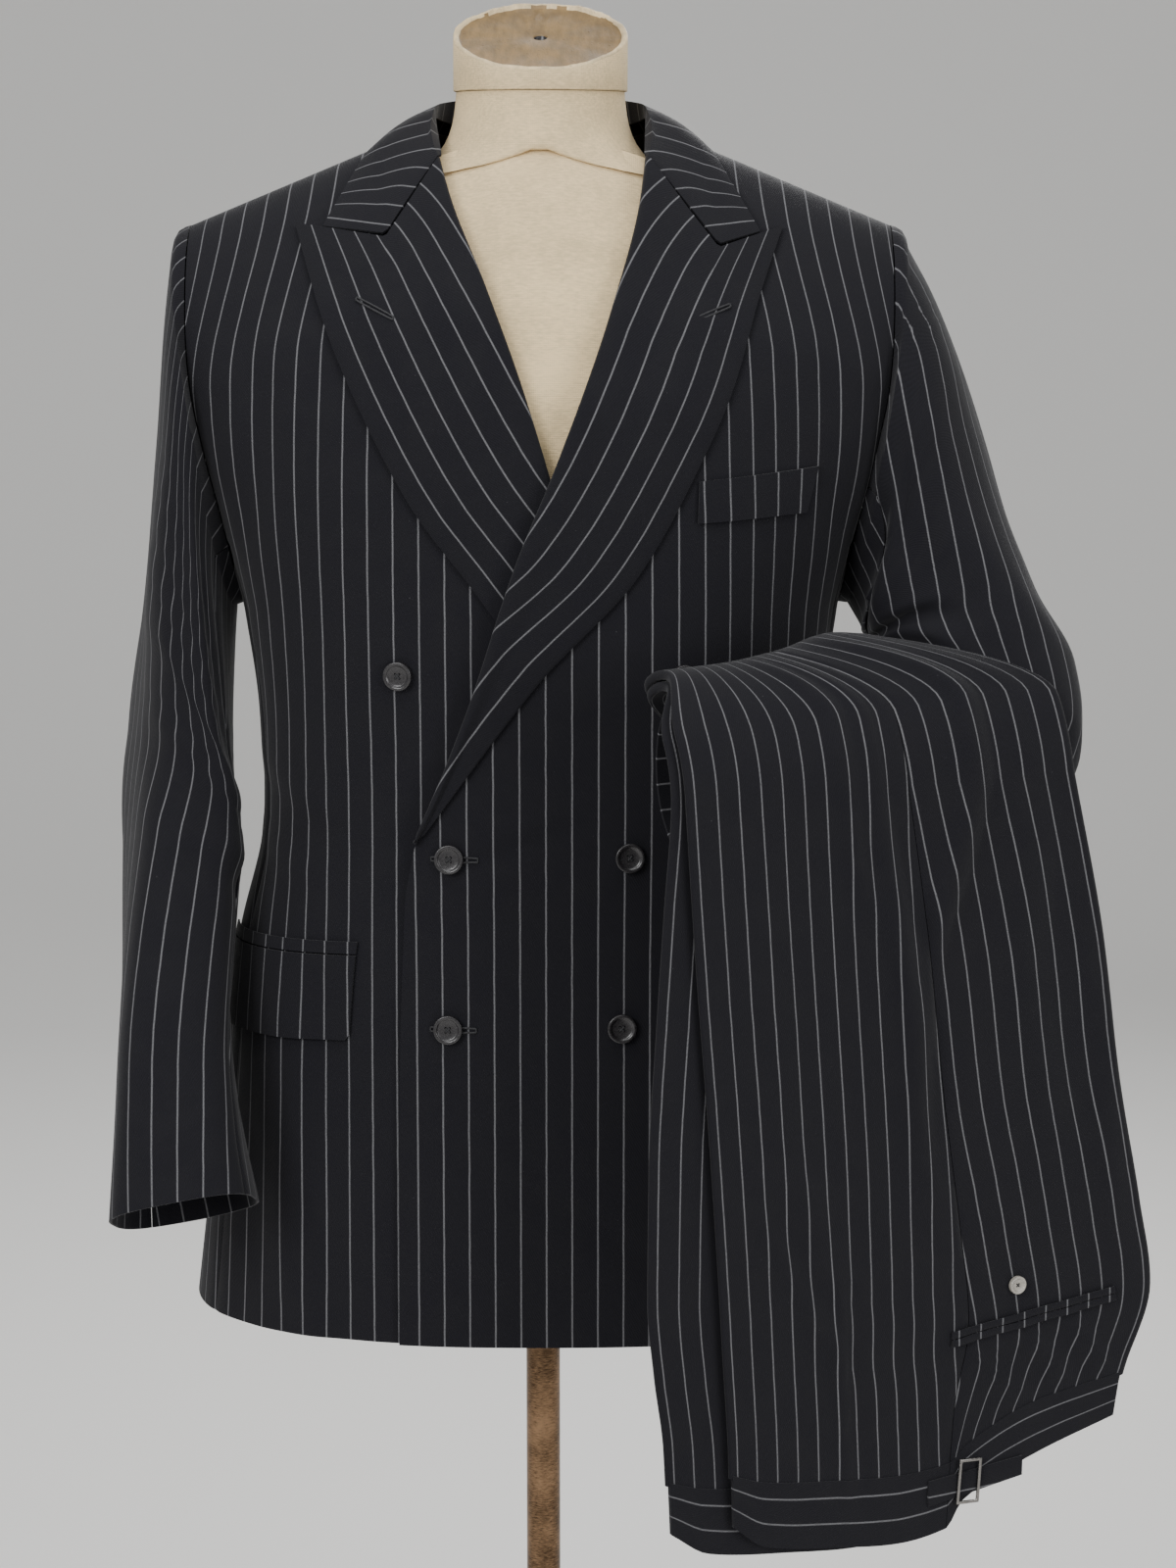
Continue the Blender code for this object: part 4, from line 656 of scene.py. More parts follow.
def overlap_lift(x, z):
    """How far the left front stands off the right front that it laps over."""
    height = mix(OVERLAP_LOW, OVERLAP_HIGH, smooth((np.asarray(z) - 0.98) / 0.12))
    height = height * (1 - smooth((np.asarray(z) - 1.36) / 0.10))
    return height * (1 - smooth((x - OVERLAP_END) / OVERLAP_FADE))


def front_base(x, z, side):
    """How far a front's face stands off the body. The left front laps over the right one."""
    return overlap_lift(x, z) if side > 0 else np.zeros(np.broadcast(x, z).shape)


def front_edge(level, side):
    """x of a front's free edge: the overlap's edge below the break and the roll line above it."""
    below = read(by_height(LEFT_EDGE), "x", level) * side - (UNDER_EDGE_IN if side < 0 else 0.0)
    above = read(by_height(FRONTS[side].roll), "x", level - 0.03 * smooth((level - 1.5) / 0.09))
    return np.where(level < BREAK_HEIGHT, below, above)


def pinch(distance, deep=0.0009, wide=0.0028):
    """How much the cloth draws in beside a seam."""
    return -deep * np.exp(-((distance / wide) ** 2))


def new_object(name, data):
    made = bpy.data.objects.new(name, data)
    bpy.context.scene.collection.objects.link(made)
    return made


def mesh_object(name, points, faces):
    mesh = bpy.data.meshes.new(name)
    mesh.from_pydata(np.asarray(points).reshape(-1, 3).tolist(), [], faces)
    return new_object(name, mesh)


def write_map(mesh, uv):
    """Gives every corner of a mesh its point's place on the cloth."""
    layer = mesh.uv_layers.new(name="cloth")
    corners = np.zeros(len(mesh.loops), np.int64)
    mesh.loops.foreach_get("vertex_index", corners)
    layer.data.foreach_set("uv", uv.reshape(-1, 2)[corners].astype(np.float32).ravel())


def cell_grid(points):
    """The numbers of a grid's points, row by row."""
    rows, columns = points.shape[:2]
    return np.arange(rows * columns).reshape(rows, columns)


def tube_quads(cells):
    """Faces between each ring of points and the next."""
    after = np.roll(cells, -1, axis=1)
    return np.stack((cells[:-1], after[:-1], after[1:], cells[1:]), axis=-1).reshape(-1, 4).tolist()


def cloth_mesh(name, points, uv, inside):
    """A single layer of cloth with its stripes' map, its faces turned away from what is inside."""
    cells = cell_grid(points)
    quads = np.stack((cells[:-1, :-1], cells[:-1, 1:], cells[1:, 1:], cells[1:, :-1]), axis=-1)
    row, column = cells.shape[0] // 2, cells.shape[1] // 2
    across = points[row, column + 1] - points[row, column - 1]
    up = points[row + 1, column] - points[row - 1, column]
    away = points[row, column] - np.asarray(inside, float)
    order = -1 if np.dot(np.cross(across, up), away) < 0 else 1
    made = mesh_object(name, points, quads.reshape(-1, 4)[:, ::order].tolist())
    write_map(made.data, uv)
    return made


def deselect_all():
    for other in bpy.context.view_layer.objects:
        other.select_set(False)


def select_only(piece):
    deselect_all()
    piece.select_set(True)
    bpy.context.view_layer.objects.active = piece


def turn_faces_out(piece):
    select_only(piece)
    bpy.ops.object.mode_set(mode="EDIT")
    bpy.ops.mesh.select_all(action="SELECT")
    bpy.ops.mesh.normals_make_consistent(inside=False)
    bpy.ops.object.mode_set(mode="OBJECT")


def apply_modifiers(piece):
    select_only(piece)
    for modifier in list(piece.modifiers):
        bpy.ops.object.modifier_apply(modifier=modifier.name)


def bevel(piece, width, segments, degrees=30):
    """Rounds the edges that turn by more than these degrees."""
    edge = piece.modifiers.new("edge", "BEVEL")
    edge.width = width
    edge.segments = segments
    edge.limit_method = "ANGLE"
    edge.angle_limit = math.radians(degrees)
    apply_modifiers(piece)


def smooth_by_angle(piece, degrees):
    select_only(piece)
    bpy.ops.object.shade_smooth_by_angle(angle=math.radians(degrees))


def dress(piece, name):
    """Gives a piece of cloth its stripes and its place among the solids."""
    piece.data.materials.append(finish_of("pinstripe_twill"))
    smooth_by_angle(piece, 50)
    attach(piece, "root")
    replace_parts(piece, name)


def cloth_piece(name, points, uv, inside, thick=None):
    """A wall of cloth: one layer given its thickness inwards, in the place of its solid."""
    piece = cloth_mesh(f"{name}_cloth", points, uv, inside)
    wall = piece.modifiers.new("thickness", "SOLIDIFY")
    wall.thickness = bpy.context.scene.suit_cloth.wall if thick is None else thick
    wall.offset = -1
    wall.use_rim = True
    apply_modifiers(piece)
    dress(piece, name)


def stripe_map(across, down, phase):
    return np.stack((np.broadcast_to(across - phase, down.shape), down), axis=-1)


class Wire:
    """A socket's output with the operators that a shader's arithmetic needs."""

    def __init__(self, tree, socket):
        self.tree = tree
        self.socket = socket

    def join(self, operation, first, second=None):
        made = self.tree.nodes.new("ShaderNodeMath")
        made.operation = operation
        for place, value in zip(made.inputs, (first, second)):
            if value is None:
                continue
            if isinstance(value, Wire):
                self.tree.links.new(value.socket, place)
            else:
                place.default_value = value
        return Wire(self.tree, made.outputs[0])

    def __add__(self, other):
        return self.join("ADD", self, other)

    def __sub__(self, other):
        return self.join("SUBTRACT", self, other)

    def __mul__(self, other):
        return self.join("MULTIPLY", self, other)

    def __truediv__(self, other):
        return self.join("DIVIDE", self, other)

    def __abs__(self):
        return self.join("ABSOLUTE", self)

    def fract(self):
        return self.join("FRACT", self)


def tint(colour, strength):
    return tuple(min(value * strength, 1) for value in colour)


class Finish:
    """A material and the methods that add its nodes."""

    def __init__(self, name, colour, rough, metal=0.0, **fixed):
        self.material = bpy.data.materials.new(name)
        self.material.use_nodes = True
        self.tree = self.material.node_tree
        self.shader = self.tree.nodes["Principled BSDF"]
        self.shader.inputs["Base Color"].default_value = (*colour, 1)
        self.shader.inputs["Roughness"].default_value = rough
        self.shader.inputs["Metallic"].default_value = metal
        for socket, value in fixed.items():
            self.shader.inputs[socket.replace("_", " ")].default_value = value

    def add(self, kind, settings=None, **values):
        made = self.tree.nodes.new(kind)
        for name, value in (settings or {}).items():
            setattr(made, name, value)
        for name, value in values.items():
            self.feed(made.inputs[name.replace("_", " ")], value)
        return made

    def feed(self, socket, value):
        if isinstance(value, Wire):
            self.tree.links.new(value.socket, socket)
        else:
            socket.default_value = value

    def out(self, node, name=0):
        return Wire(self.tree, node.outputs[name])

    def place(self, name):
        if name == "object":
            return self.out(self.add("ShaderNodeTexCoord"), "Object")
        return self.out(self.add("ShaderNodeUVMap", {"uv_map": name}))

    def noise(self, place, scale, detail=2.0, rough=0.5):
        values = {"Vector": place, "Scale": scale, "Detail": detail, "Roughness": rough}
        return self.out(self.add("ShaderNodeTexNoise", None, **values), "Fac")

    def stretched(self, place, scale):
        made = self.add("ShaderNodeMapping", None, Vector=place, Scale=scale)
        return self.out(made)

    def between(self, value, low, high, to_low=0.0, to_high=1.0):
        made = self.add(
            "ShaderNodeMapRange",
            {"interpolation_type": "SMOOTHSTEP"},
            Value=value,
            From_Min=low,
            From_Max=high,
            To_Min=to_low,
            To_Max=to_high,
        )
        return self.out(made)

    def blend(self, share, first, second):
        made = self.add("ShaderNodeMix", {"data_type": "RGBA"})
        self.feed(made.inputs[0], share)
        for socket, value in ((made.inputs[6], first), (made.inputs[7], second)):
            self.feed(socket, value if isinstance(value, Wire) else (*value, 1))
        return self.out(made, 2)

    def colour(self, value):
        self.feed(self.shader.inputs["Base Color"], value)

    def tone(self, share, colour, low, high):
        """The colour from its low strength to its high one, by the share."""
        return self.blend(share, tint(colour, low), tint(colour, high))

    def rough(self, value, low, high):
        self.feed(self.shader.inputs["Roughness"], self.between(value, 0.3, 0.7, low, high))

    def bump(self, height, distance, strength=1.0):
        made = self.add("ShaderNodeBump", None, Height=height, Distance=distance, Strength=strength)
        self.feed(self.shader.inputs["Normal"], self.out(made))


def suiting(name):
    """Navy-black twill. Its chalk stripes run along the cut's length, about a yarn wide."""
    cloth = bpy.context.scene.suit_cloth
    made = Finish(name, cloth.colour, 0.86, Sheen_Weight=0.08, Sheen_Roughness=0.45, Specular_IOR_Level=0.16)
    place = made.place("cloth")
    split = made.add("ShaderNodeSeparateXYZ", None, Vector=place)
    across, down = made.out(split, 0), made.out(split, 1)
    mottle = made.noise(place, 38.0, 3.0, 0.6)
    fibre = made.noise(made.stretched(place, (1.0, 0.35, 1.0)), 1300.0, 2.0, 0.6)
    rib = abs(((across + down * 0.55) / 0.0017).fract() - 0.5) * 2.0
    shade = made.between(fibre * 0.55 + mottle * 0.30 + rib * 0.15, 0.30, 0.70)
    ground = made.tone(shade, cloth.colour, 0.78, 1.26)
    lint = made.between(made.noise(place, 420.0, 1.0), 0.80, 0.84)
    ground = made.blend(lint * 0.22, ground, (0.16, 0.16, 0.17))
    wander = made.noise(made.stretched(place, (0.2, 1.0, 1.0)), 60.0, 1.0)
    turn = (across + (wander - 0.5) * 0.0006) / cloth.pitch + 0.5
    distance = abs(turn.fract() - 0.5) * cloth.pitch
    yarn = made.noise(made.stretched(place, (0.5, 1.0, 1.0)), 520.0, 2.0, 0.7)
    half = cloth.stripe_width / 2
    line = made.between(distance + (yarn - 0.5) * 0.0005, half * 0.55, half * 1.35, 1.0, 0.0)
    strength = made.between(yarn, 0.28, 0.60, 0.62, 1.0)
    made.colour(made.blend(line * strength, ground, tuple(cloth.stripe_colour)))
    made.rough(mottle, 0.80, 0.92)
    made.bump(rib * 0.5 + fibre * 0.8 + line * 0.6, 0.00022)
    return made.material


def horn(name, colour):
    """Polished horn with soft streaks."""
    made = Finish(name, colour, 0.30, Coat_Weight=0.25, Coat_Roughness=0.2)
    place = made.place("object")
    streak = made.noise(made.stretched(place, (1.0, 1.0, 3.0)), 260.0, 3.0, 0.6)
    made.colour(made.tone(streak, colour, 0.6, 2.0))
    made.rough(made.noise(place, 900.0), 0.24, 0.42)
    made.bump(streak, 0.00005)
    return made.material


def thread(name, colour):
    """Twisted sewing silk."""
    made = Finish(name, colour, 0.62, Sheen_Weight=0.04)
    twist = made.noise(made.place("object"), 2600.0, 2.0)
    made.colour(made.tone(twist, colour, 0.6, 1.5))
    made.bump(twist, 0.0001)
    return made.material


def linen(name, colour):
    """Woven canvas drawn over the form, a little uneven in tone."""
    made = Finish(name, colour, 0.88, Sheen_Weight=0.08)
    place = made.place("object")
    split = made.add("ShaderNodeSeparateXYZ", None, Vector=place)
    across, up = made.out(split, 0), made.out(split, 2)
    weave = abs((across / 0.0014).fract() - 0.5) + abs((up / 0.0014).fract() - 0.5)
    slub = made.noise(made.stretched(place, (0.25, 1.0, 1.0)), 700.0, 3.0, 0.65)
    stain = made.noise(place, 14.0, 4.0, 0.6)
    made.colour(made.tone(made.between(slub * 0.45 + stain * 0.55, 0.34, 0.66), colour, 0.74, 1.12))
    made.rough(slub, 0.80, 0.94)
    made.bump(weave * 0.6 + slub, 0.00035)
    return made.material


def old_board(name, colour):
    """Smoothed pressed board of the neck's end, worn and stained."""
    made = Finish(name, colour, 0.62)
    place = made.place("object")
    grain = made.noise(made.stretched(place, (3.0, 0.7, 1.0)), 60.0, 4.0, 0.65)
    stain = made.noise(place, 22.0, 3.0, 0.6)
    speck = made.between(made.noise(place, 340.0, 2.0), 0.66, 0.74)
    base = made.tone(made.between(grain * 0.5 + stain * 0.5, 0.33, 0.68), colour, 0.62, 1.22)
    made.colour(made.blend(speck * 0.45, base, (0.10, 0.06, 0.03)))
    made.rough(stain, 0.50, 0.74)
    made.bump(grain + speck * 0.4, 0.0005)
    return made.material


def brushed_brass(name, colour, along):
    """Brown brass, brushed round or along the tube and rubbed bright in places."""
    made = Finish(name, colour, 0.34, 1.0)
    place = made.place("object")
    lines = made.noise(made.stretched(place, along), 240.0, 5.0, 0.7)
    patch = made.noise(place, 26.0, 3.0, 0.6)
    made.colour(made.tone(made.between(lines * 0.6 + patch * 0.4, 0.36, 0.64), colour, 0.42, 2.3))
    made.rough(lines, 0.24, 0.48)
    made.bump(lines, 0.00012)
    return made.material


def plated_wire(name, colour):
    made = Finish(name, colour, 0.28, 1.0)
    place = made.place("object")
    wear = made.noise(place, 420.0, 3.0)
    made.colour(made.tone(wear, colour, 0.6, 1.35))
    made.rough(wear, 0.18, 0.42)
    made.bump(wear, 0.00008)
    return made.material


def floor_paint(name, colour):
    made = Finish(name, colour, 0.78)
    tone = made.noise(made.place("object"), 3.0, 2.0)
    made.colour(made.tone(tone, colour, 0.985, 1.0))
    return made.material


def finish_of(name):
    """The material of this name, made when it is first asked for."""
    if name in bpy.data.materials:
        return bpy.data.materials[name]
    scene = bpy.context.scene
    form = scene.suit_form
    maker, *looks = {
        "pinstripe_twill": (suiting,),
        # Dark horn colours the buttons, and the floor and walls of the neck cap's hole as painted shade.
        "dark_horn": (horn, scene.suit_trim.button_and_hole_shade_colour),
        "grey_horn": (horn, (0.230, 0.215, 0.190)),
        "navy_silk": (thread, (0.004, 0.004, 0.006)),
        "linen_canvas": (linen, form.linen_colour),
        "old_board": (old_board, form.cap_colour),
        "old_plaster": (old_board, (0.610, 0.475, 0.275)),
        "brushed_pole": (brushed_brass, form.brass_colour, (1.0, 1.0, 6.0)),
        "brushed_base": (brushed_brass, form.brass_colour, (3.0, 0.6, 1.0)),
        "plated_wire": (plated_wire, (0.22, 0.21, 0.20)),
        "floor_paint": (floor_paint, scene.suit_stage.floor_colour),
    }[name]
    return maker(name, *looks)


def front_panel(name, side):
    """A front, from its edge or roll line to the side seam, the armhole and the shoulder."""
    levels = panel_levels(FRONT_SEAM_TOP, 92, 64)
    turns = np.zeros((len(levels), FRONT_COLUMNS))
    for row, level in enumerate(levels):
        first = float(turn_at(float(front_edge(level, side)), level))
        turns[row] = spread(first, side * float(front_seam_turn(level)), level, FRONT_COLUMNS)
    grid = np.broadcast_to(levels[:, None], turns.shape)
    points = torso(turns, grid)
    seam = pinch(np.linspace(0.25, 0, FRONT_COLUMNS)) * (grid < FRONT_SEAM_TOP + 0.02)
    lift = front_base(points[..., 0], points[..., 2], side)
    outer = offset(turns, grid, lift + seam + body_folds(turns, grid))
    outer[-1, :, 1] -= SEAM_GAP / 2
    uv = stripe_map(grain(turns, grid), grid - HEM, FRONTS[side].stripe)
    cloth_piece(name, outer, uv, (0, 0, 1.1))


def back_neck_level(turn):
    x = np.abs(torso(turn, np.full_like(turn, NECK_SEAM))[..., 0])
    return mix(NECK_SEAM, SHOULDER, smooth(x / NECK_POINT) ** 2)


def back_panel(name, side):
    levels = panel_levels(BACK_SEAM_TOP, 92, 60)
    turns = np.zeros((len(levels), BACK_COLUMNS))
    grid = np.zeros(turns.shape)
    for row, level in enumerate(levels):
        turns[row] = spread(side * math.pi, side * float(back_seam_turn(level)), level, BACK_COLUMNS)
        share = smooth((level - 1.40) / (SHOULDER - 1.40))
        grid[row] = mix(level, np.minimum(level, back_neck_level(turns[row])), share)
    run = np.linspace(0, 0.25, BACK_COLUMNS)
    seam = pinch(run) + pinch(0.25 - run) * (grid < BACK_SEAM_TOP + 0.02)
    outer = offset(turns, grid, seam + body_folds(turns, grid))
    outer[-1, :, 1] += SEAM_GAP / 2
    uv = stripe_map(grain(turns, grid, True), grid - HEM, 0.5 * bpy.context.scene.suit_cloth.pitch)
    cloth_piece(name, outer, uv, (0, 0, 1.1))


def side_panel(name, side):
    turns = np.zeros((SIDE_ROWS, SIDE_COLUMNS))
    grid = np.zeros(turns.shape)
    dense = np.linspace(ARMPIT, BACK_SEAM_TOP, 300)
    front = armhole_turn(dense)
    behind = armhole_turn(dense, behind=True)
    for row, share in enumerate(np.linspace(0, 1, SIDE_ROWS)):
        low = mix(HEM, FRONT_SEAM_TOP, share)
        first = float(front_seam_turn(low))
        last = float(back_seam_turn(mix(HEM, BACK_SEAM_TOP, share)))
        turns[row] = spread(first, last, min(low, ARMPIT), SIDE_COLUMNS)
    for column, turn in enumerate(turns[-1]):
        top = np.interp(-turn, -front, dense) if turn < math.pi / 2 else np.interp(turn, behind, dense)
        grid[:, column] = np.linspace(HEM, max(top, ARMPIT), SIDE_ROWS)
    run = np.linspace(0, 0.15, SIDE_COLUMNS)
    turns = side * turns
    outer = offset(turns, grid, pinch(run) + pinch(0.15 - run) + body_folds(turns, grid))
    uv = stripe_map(girth(turns, grid), grid - HEM, SIDE_STRIPE)
    cloth_piece(name, outer, uv, (0, 0, 1.0))


def outline_at(outline, column, share):
    """A smooth place along an outline's rows, from its first at 0 to its last at 1."""
    row = namedtuple("Step", "share value")
    shares = np.linspace(0, 1, len(outline))
    steps = tuple(row(at, getattr(place, column)) for at, place in zip(shares, outline))
    return read(steps, "value", share)


def rounded_roll(top, below, normal):
    """Half rings of points that turn the lapel's top face round its roll, down to the front below."""
    radius = np.linalg.norm(top[:, :1] - below, axis=-1, keepdims=True) / 2
    centre = (top[:, :1] + below) / 2
    toward = top[:, :1] - top[:, 1:2]
    toward = toward - normal * np.sum(toward * normal, axis=-1, keepdims=True)
    toward = toward / np.maximum(np.linalg.norm(toward, axis=-1, keepdims=True), 1e-9)
    angles = np.linspace(-math.pi / 2, math.pi / 2, LAPEL_BEND + 1)[:-1]
    return [centre + radius * (toward * math.cos(a) * 0.9 + normal * math.sin(a)) for a in angles]


def lapel(name, side):
    """A lapel with its rounded roll, from the break up to the gorge and the peak."""
    front = FRONTS[side]
    wall = bpy.context.scene.suit_cloth.wall
    shares = np.linspace(0, 1, LAPEL_ROWS)
    across = np.linspace(0, 1, LAPEL_COLUMNS)
    hat = np.where(across < GORGE_SHARE, across / GORGE_SHARE, (1 - across) / (1 - GORGE_SHARE))
    inner_z = mix(BREAK_HEIGHT + 0.004, GORGE_START, shares)
    inner_x = read(by_height(front.roll), "x", inner_z)
    outer_x = outline_at(front.lapel, "x", shares)
    outer_z = outline_at(front.lapel, "z", shares)
    sag_x = front.gorge.x - mix(inner_x[-1], front.lapel[-1].x, GORGE_SHARE)
    sag_z = front.gorge.z - mix(GORGE_START, front.lapel[-1].z, GORGE_SHARE)
    sag = (shares**4)[:, None] * hat
    x = mix(inner_x[:, None], outer_x[:, None], across) + sag_x * sag
    z = mix(inner_z[:, None], outer_z[:, None], across) + sag_z * sag
    level = level_at(x, z)
    turns = turn_at(x, level)
    base = front_base(x, z, side)
    out = base + LAPEL_OUT + front.rise * (1 - smooth(across / 0.35))
    belly = 0.0022 * np.sin(math.pi * across) * smooth(shares * 2)[:, None]
    edge_dip = -0.0007 * np.exp(-(((1 - across) * 60) ** 2))
    folds = body_folds(turns, level)
    top = offset(turns, level, out + belly + edge_dip + folds)
    below = offset(turns[:, :1], level[:, :1], base[:, :1] + folds[:, :1] - wall * 0.2)
    normal = torso_normal(turns[:, :1], level[:, :1])
    points = np.concatenate((*rounded_roll(top, below, normal), top), axis=1)
    from_edge = run_across(points[:, ::-1])[:, ::-1]
    along = np.concatenate(([0], np.cumsum(np.hypot(np.diff(outer_x), np.diff(outer_z)))))
    uv = stripe_map(from_edge, np.broadcast_to(along[:, None], from_edge.shape), LAPEL_STRIPE)
    inside = points[LAPEL_ROWS // 2, LAPEL_BEND + LAPEL_COLUMNS // 2] + (0, 0.3, 0)
    cloth_piece(name, points, uv, inside)


def collar_end(side):
    """The leaf's front end, along the gorge and on to the notch."""
    front = FRONTS[side]
    share = np.linspace(0, 1, COLLAR_LEAF)
    start_x = float(read(by_height(front.roll), "x", GORGE_START))
    x = np.interp(share, COLLAR_GORGE_STEPS, (start_x, front.gorge.x, front.notch.x))
    z = np.interp(share, COLLAR_GORGE_STEPS, (GORGE_START, front.gorge.z, front.notch.z)) + 0.0025
    level = level_at(x, z)
    return x[-1], z[-1], offset(turn_at(x, level), level, np.full(COLLAR_LEAF, LAPEL_OUT))


def collar_lines(side):
    """Rows of one collar half, from its front end to the centre back: stand, fold and leaf."""
    end_x, end_z, start = collar_end(side)
    fold_front = start[0] + np.array((0, -0.002, 0))
    stand_front = start[0] + np.array((-side * 0.0025, 0.001, 0.001))
    shoulder_fold = COLLAR_FOLD_SIDE * (side, 1, 1)
    shoulder_stand = COLLAR_STAND_SIDE * (side, 1, 1)
    straight = np.linspace(0, 1, COLLAR_LEAF)[:, None]
    rows = []
    for place in np.linspace(0, 1, COLLAR_ROWS):
        if place <= COLLAR_SIDE_AT:
            part = place / COLLAR_SIDE_AT
            fold = mix(fold_front, shoulder_fold, part)
            fold[0] += side * 0.004 * math.sin(math.pi * part)
            stand = mix(stand_front, shoulder_stand, part)
            edge_x = mix(end_x, side * COLLAR_EDGE_SIDE_X, part)
            edge_z = mix(end_z, SHOULDER - TORSO[-1].tilt * COLLAR_EDGE_SIDE_X, part)
            edge_level = level_at(edge_x, edge_z)
            turn = turn_at(edge_x, edge_level)
        else:
            part = (place - COLLAR_SIDE_AT) / (1 - COLLAR_SIDE_AT)
            quarter = part * math.pi / 2
            bend = np.array((1 - math.cos(quarter), math.sin(quarter), part))
            fold = mix(shoulder_fold, COLLAR_FOLD_BACK, bend)
            stand = mix(shoulder_stand, COLLAR_STAND_BACK, bend)
            edge_x = side * COLLAR_EDGE_SIDE_X * math.cos(quarter)
            edge_level = mix(SHOULDER, COLLAR_EDGE_BACK_LEVEL, math.sin(quarter) ** 1.5)
            turn = turn_at(edge_x + side * 1e-6, edge_level, behind=True)
        edge = offset(turn, np.array(edge_level), np.array(LAPEL_OUT))
        line = mix(fold, edge, straight)
        if place <= COLLAR_SIDE_AT:
            line = mix(line, start, (1 - place / COLLAR_SIDE_AT) ** 2)
            line[0] = fold
        arch = COLLAR_ARCH * np.sin(math.pi * straight) * (0.25 + 0.75 * place)
        away = line[:, :2] - np.array((0, NECK_MIDDLE))
        away = away / np.linalg.norm(away, axis=1, keepdims=True)
        line[:, 2:] += arch * 0.8
        line[:, :2] += away * arch * 0.6
        inside = mix(stand, fold, np.linspace(0, 0.92, COLLAR_STAND)[:, None])
        rows.append(np.concatenate((inside, line)))
    return rows


def relax(points, times):
    """Evens out a grid along its rows' length, its rims held."""
    for _ in range(times):
        points[1:-1] = 0.5 * points[1:-1] + 0.25 * (points[:-2] + points[2:])
    return points


def collar(name):
    points = relax(np.array(collar_lines(-1)[:-1] + collar_lines(1)[::-1]), 6)
    count, width = points.shape[:2]
    along = run_along(points[:, COLLAR_STAND])
    along = along - along[count // 2]
    across = along[:, None] * mix(1.0, 1.25, np.linspace(0, 1, width))
    level_line = points[..., 2] - COLLAR_STRIPE_TILT * np.abs(points[..., 0])
    for end, rows in ((0, range(COLLAR_ROWS)), (-1, range(count - COLLAR_ROWS, count))):
        start = level_line[end, COLLAR_STAND]
        for row in rows:
            from_front = min(row, count - 1 - row) / ((COLLAR_ROWS - 1) * COLLAR_SIDE_AT)
            level_across = abs(along[end]) + (start - level_line[row]) * COLLAR_STRIPE_CROWD
            share = 1 - smooth((from_front - 0.2) / 0.8)
            across[row] = mix(across[row], np.sign(along[end]) * level_across, share)
    down = run_along(points[count // 2])
    uv = stripe_map(across, np.broadcast_to(down, across.shape), COLLAR_STRIPE)
    inside = points[count // 2, width // 2] - (0, 0.05, 0.03)
    cloth_piece(name, points, uv, inside)


def corner_grid(corners, rows, columns):
    """(x, z, up) of a grid between four corners, given from the lower first one round."""
    across = np.linspace(0, 1, columns)
    up = np.linspace(0, 1, rows)[:, None]
    low_first, low_last, high_last, high_first = (np.array(corner) for corner in corners)
    low = mix(low_first[:, None], low_last[:, None], across)
    high = mix(high_first[:, None], high_last[:, None], across)
    x, z = (mix(low[axis], high[axis], up) for axis in (0, 1))
    return x, z, up


def breast_welt(name):
    x, z, _ = corner_grid(WELT_CORNERS, 14, 34)
    level = level_at(x, z)
    turns = turn_at(x, level)
    outer = offset(turns, level, FLAP_LIFT + front_base(x, z, 1) + body_folds(turns, level))
    uv = stripe_map(girth(turns, level), level - HEM, FRONTS[1].stripe)
    cloth_piece(name, outer, uv, (0, 0, 1.2), FLAP_WALL)


def hip_pocket(side):
    """The jet and the flap of one hip pocket. The flap's free edge bows out a little."""
    word = "left" if side > 0 else "right"
    dense = np.linspace(float(turn_at(HIP_POCKET.x, HIP_POCKET.z)), math.radians(100), 300)
    run = run_along(torso(dense, np.full_like(dense, HIP_POCKET.z)))
    share = np.linspace(0, 1, POCKET_COLUMNS)
    turns = side * np.interp(share * HIP_POCKET_LENGTH, run, dense)
    top = HIP_POCKET.z + POCKET_SLOPE * share * HIP_POCKET_LENGTH
    corner = FLAP_CORNER * (1 - np.sqrt(1 - np.clip(1 - share / 0.026, 0, 1) ** 2))
    for piece, low, high, lift, wall, rows in (
        ("flap", -FLAP_DROP, -SEAM_GAP, FLAP_LIFT, FLAP_WALL, FLAP_ROWS),
        ("jet", SEAM_GAP, JET_HEIGHT, JET_LIFT, JET_WALL, JET_ROWS),
    ):
        name = f"{piece}_{word}"
        up = np.linspace(low, high, rows)[:, None]
        level = top + up
        if piece == "flap":
            level = level + corner * (up / low)
            lift = lift + FLAP_BOW * smooth(up / low) * np.sin(math.pi * share)
        grid = np.broadcast_to(turns, level.shape)
        place = torso(grid, level)
        base = front_base(place[..., 0], place[..., 2], side)
        outer = offset(grid, level, lift + base + body_folds(grid, level))
        uv = stripe_map(girth(grid, level), level - HEM, FRONTS[side].stripe)
        cloth_piece(name, outer, uv, (0, 0, 1.0), wall)


def armhole(side, angle):
    """The armhole's edge: 0 at the shoulder, a quarter turn at the front and half at the armpit."""
    dense = np.linspace(ARMPIT, SHOULDER, 900)
    angle = np.mod(np.asarray(angle, float), 2 * math.pi)
    front = torso(armhole_turn(dense), dense)
    behind = torso(armhole_turn(dense, behind=True), dense)
    z = mix(front[0, 2], front[-1, 2], (1 + np.cos(angle)) / 2)
    on_front = along_line(z, front[:, 2], front)
    on_back = along_line(z, behind[:, 2], behind)
    return np.where((angle <= math.pi)[:, None], on_front, on_back) * (side, 1, 1)


def unit(vector):
    return vector / np.linalg.norm(vector)


def flattened(value, power):
    """A sine or cosine drawn towards the corners of a flatter section."""
    return np.sign(value) * np.abs(value) ** (2 / power)


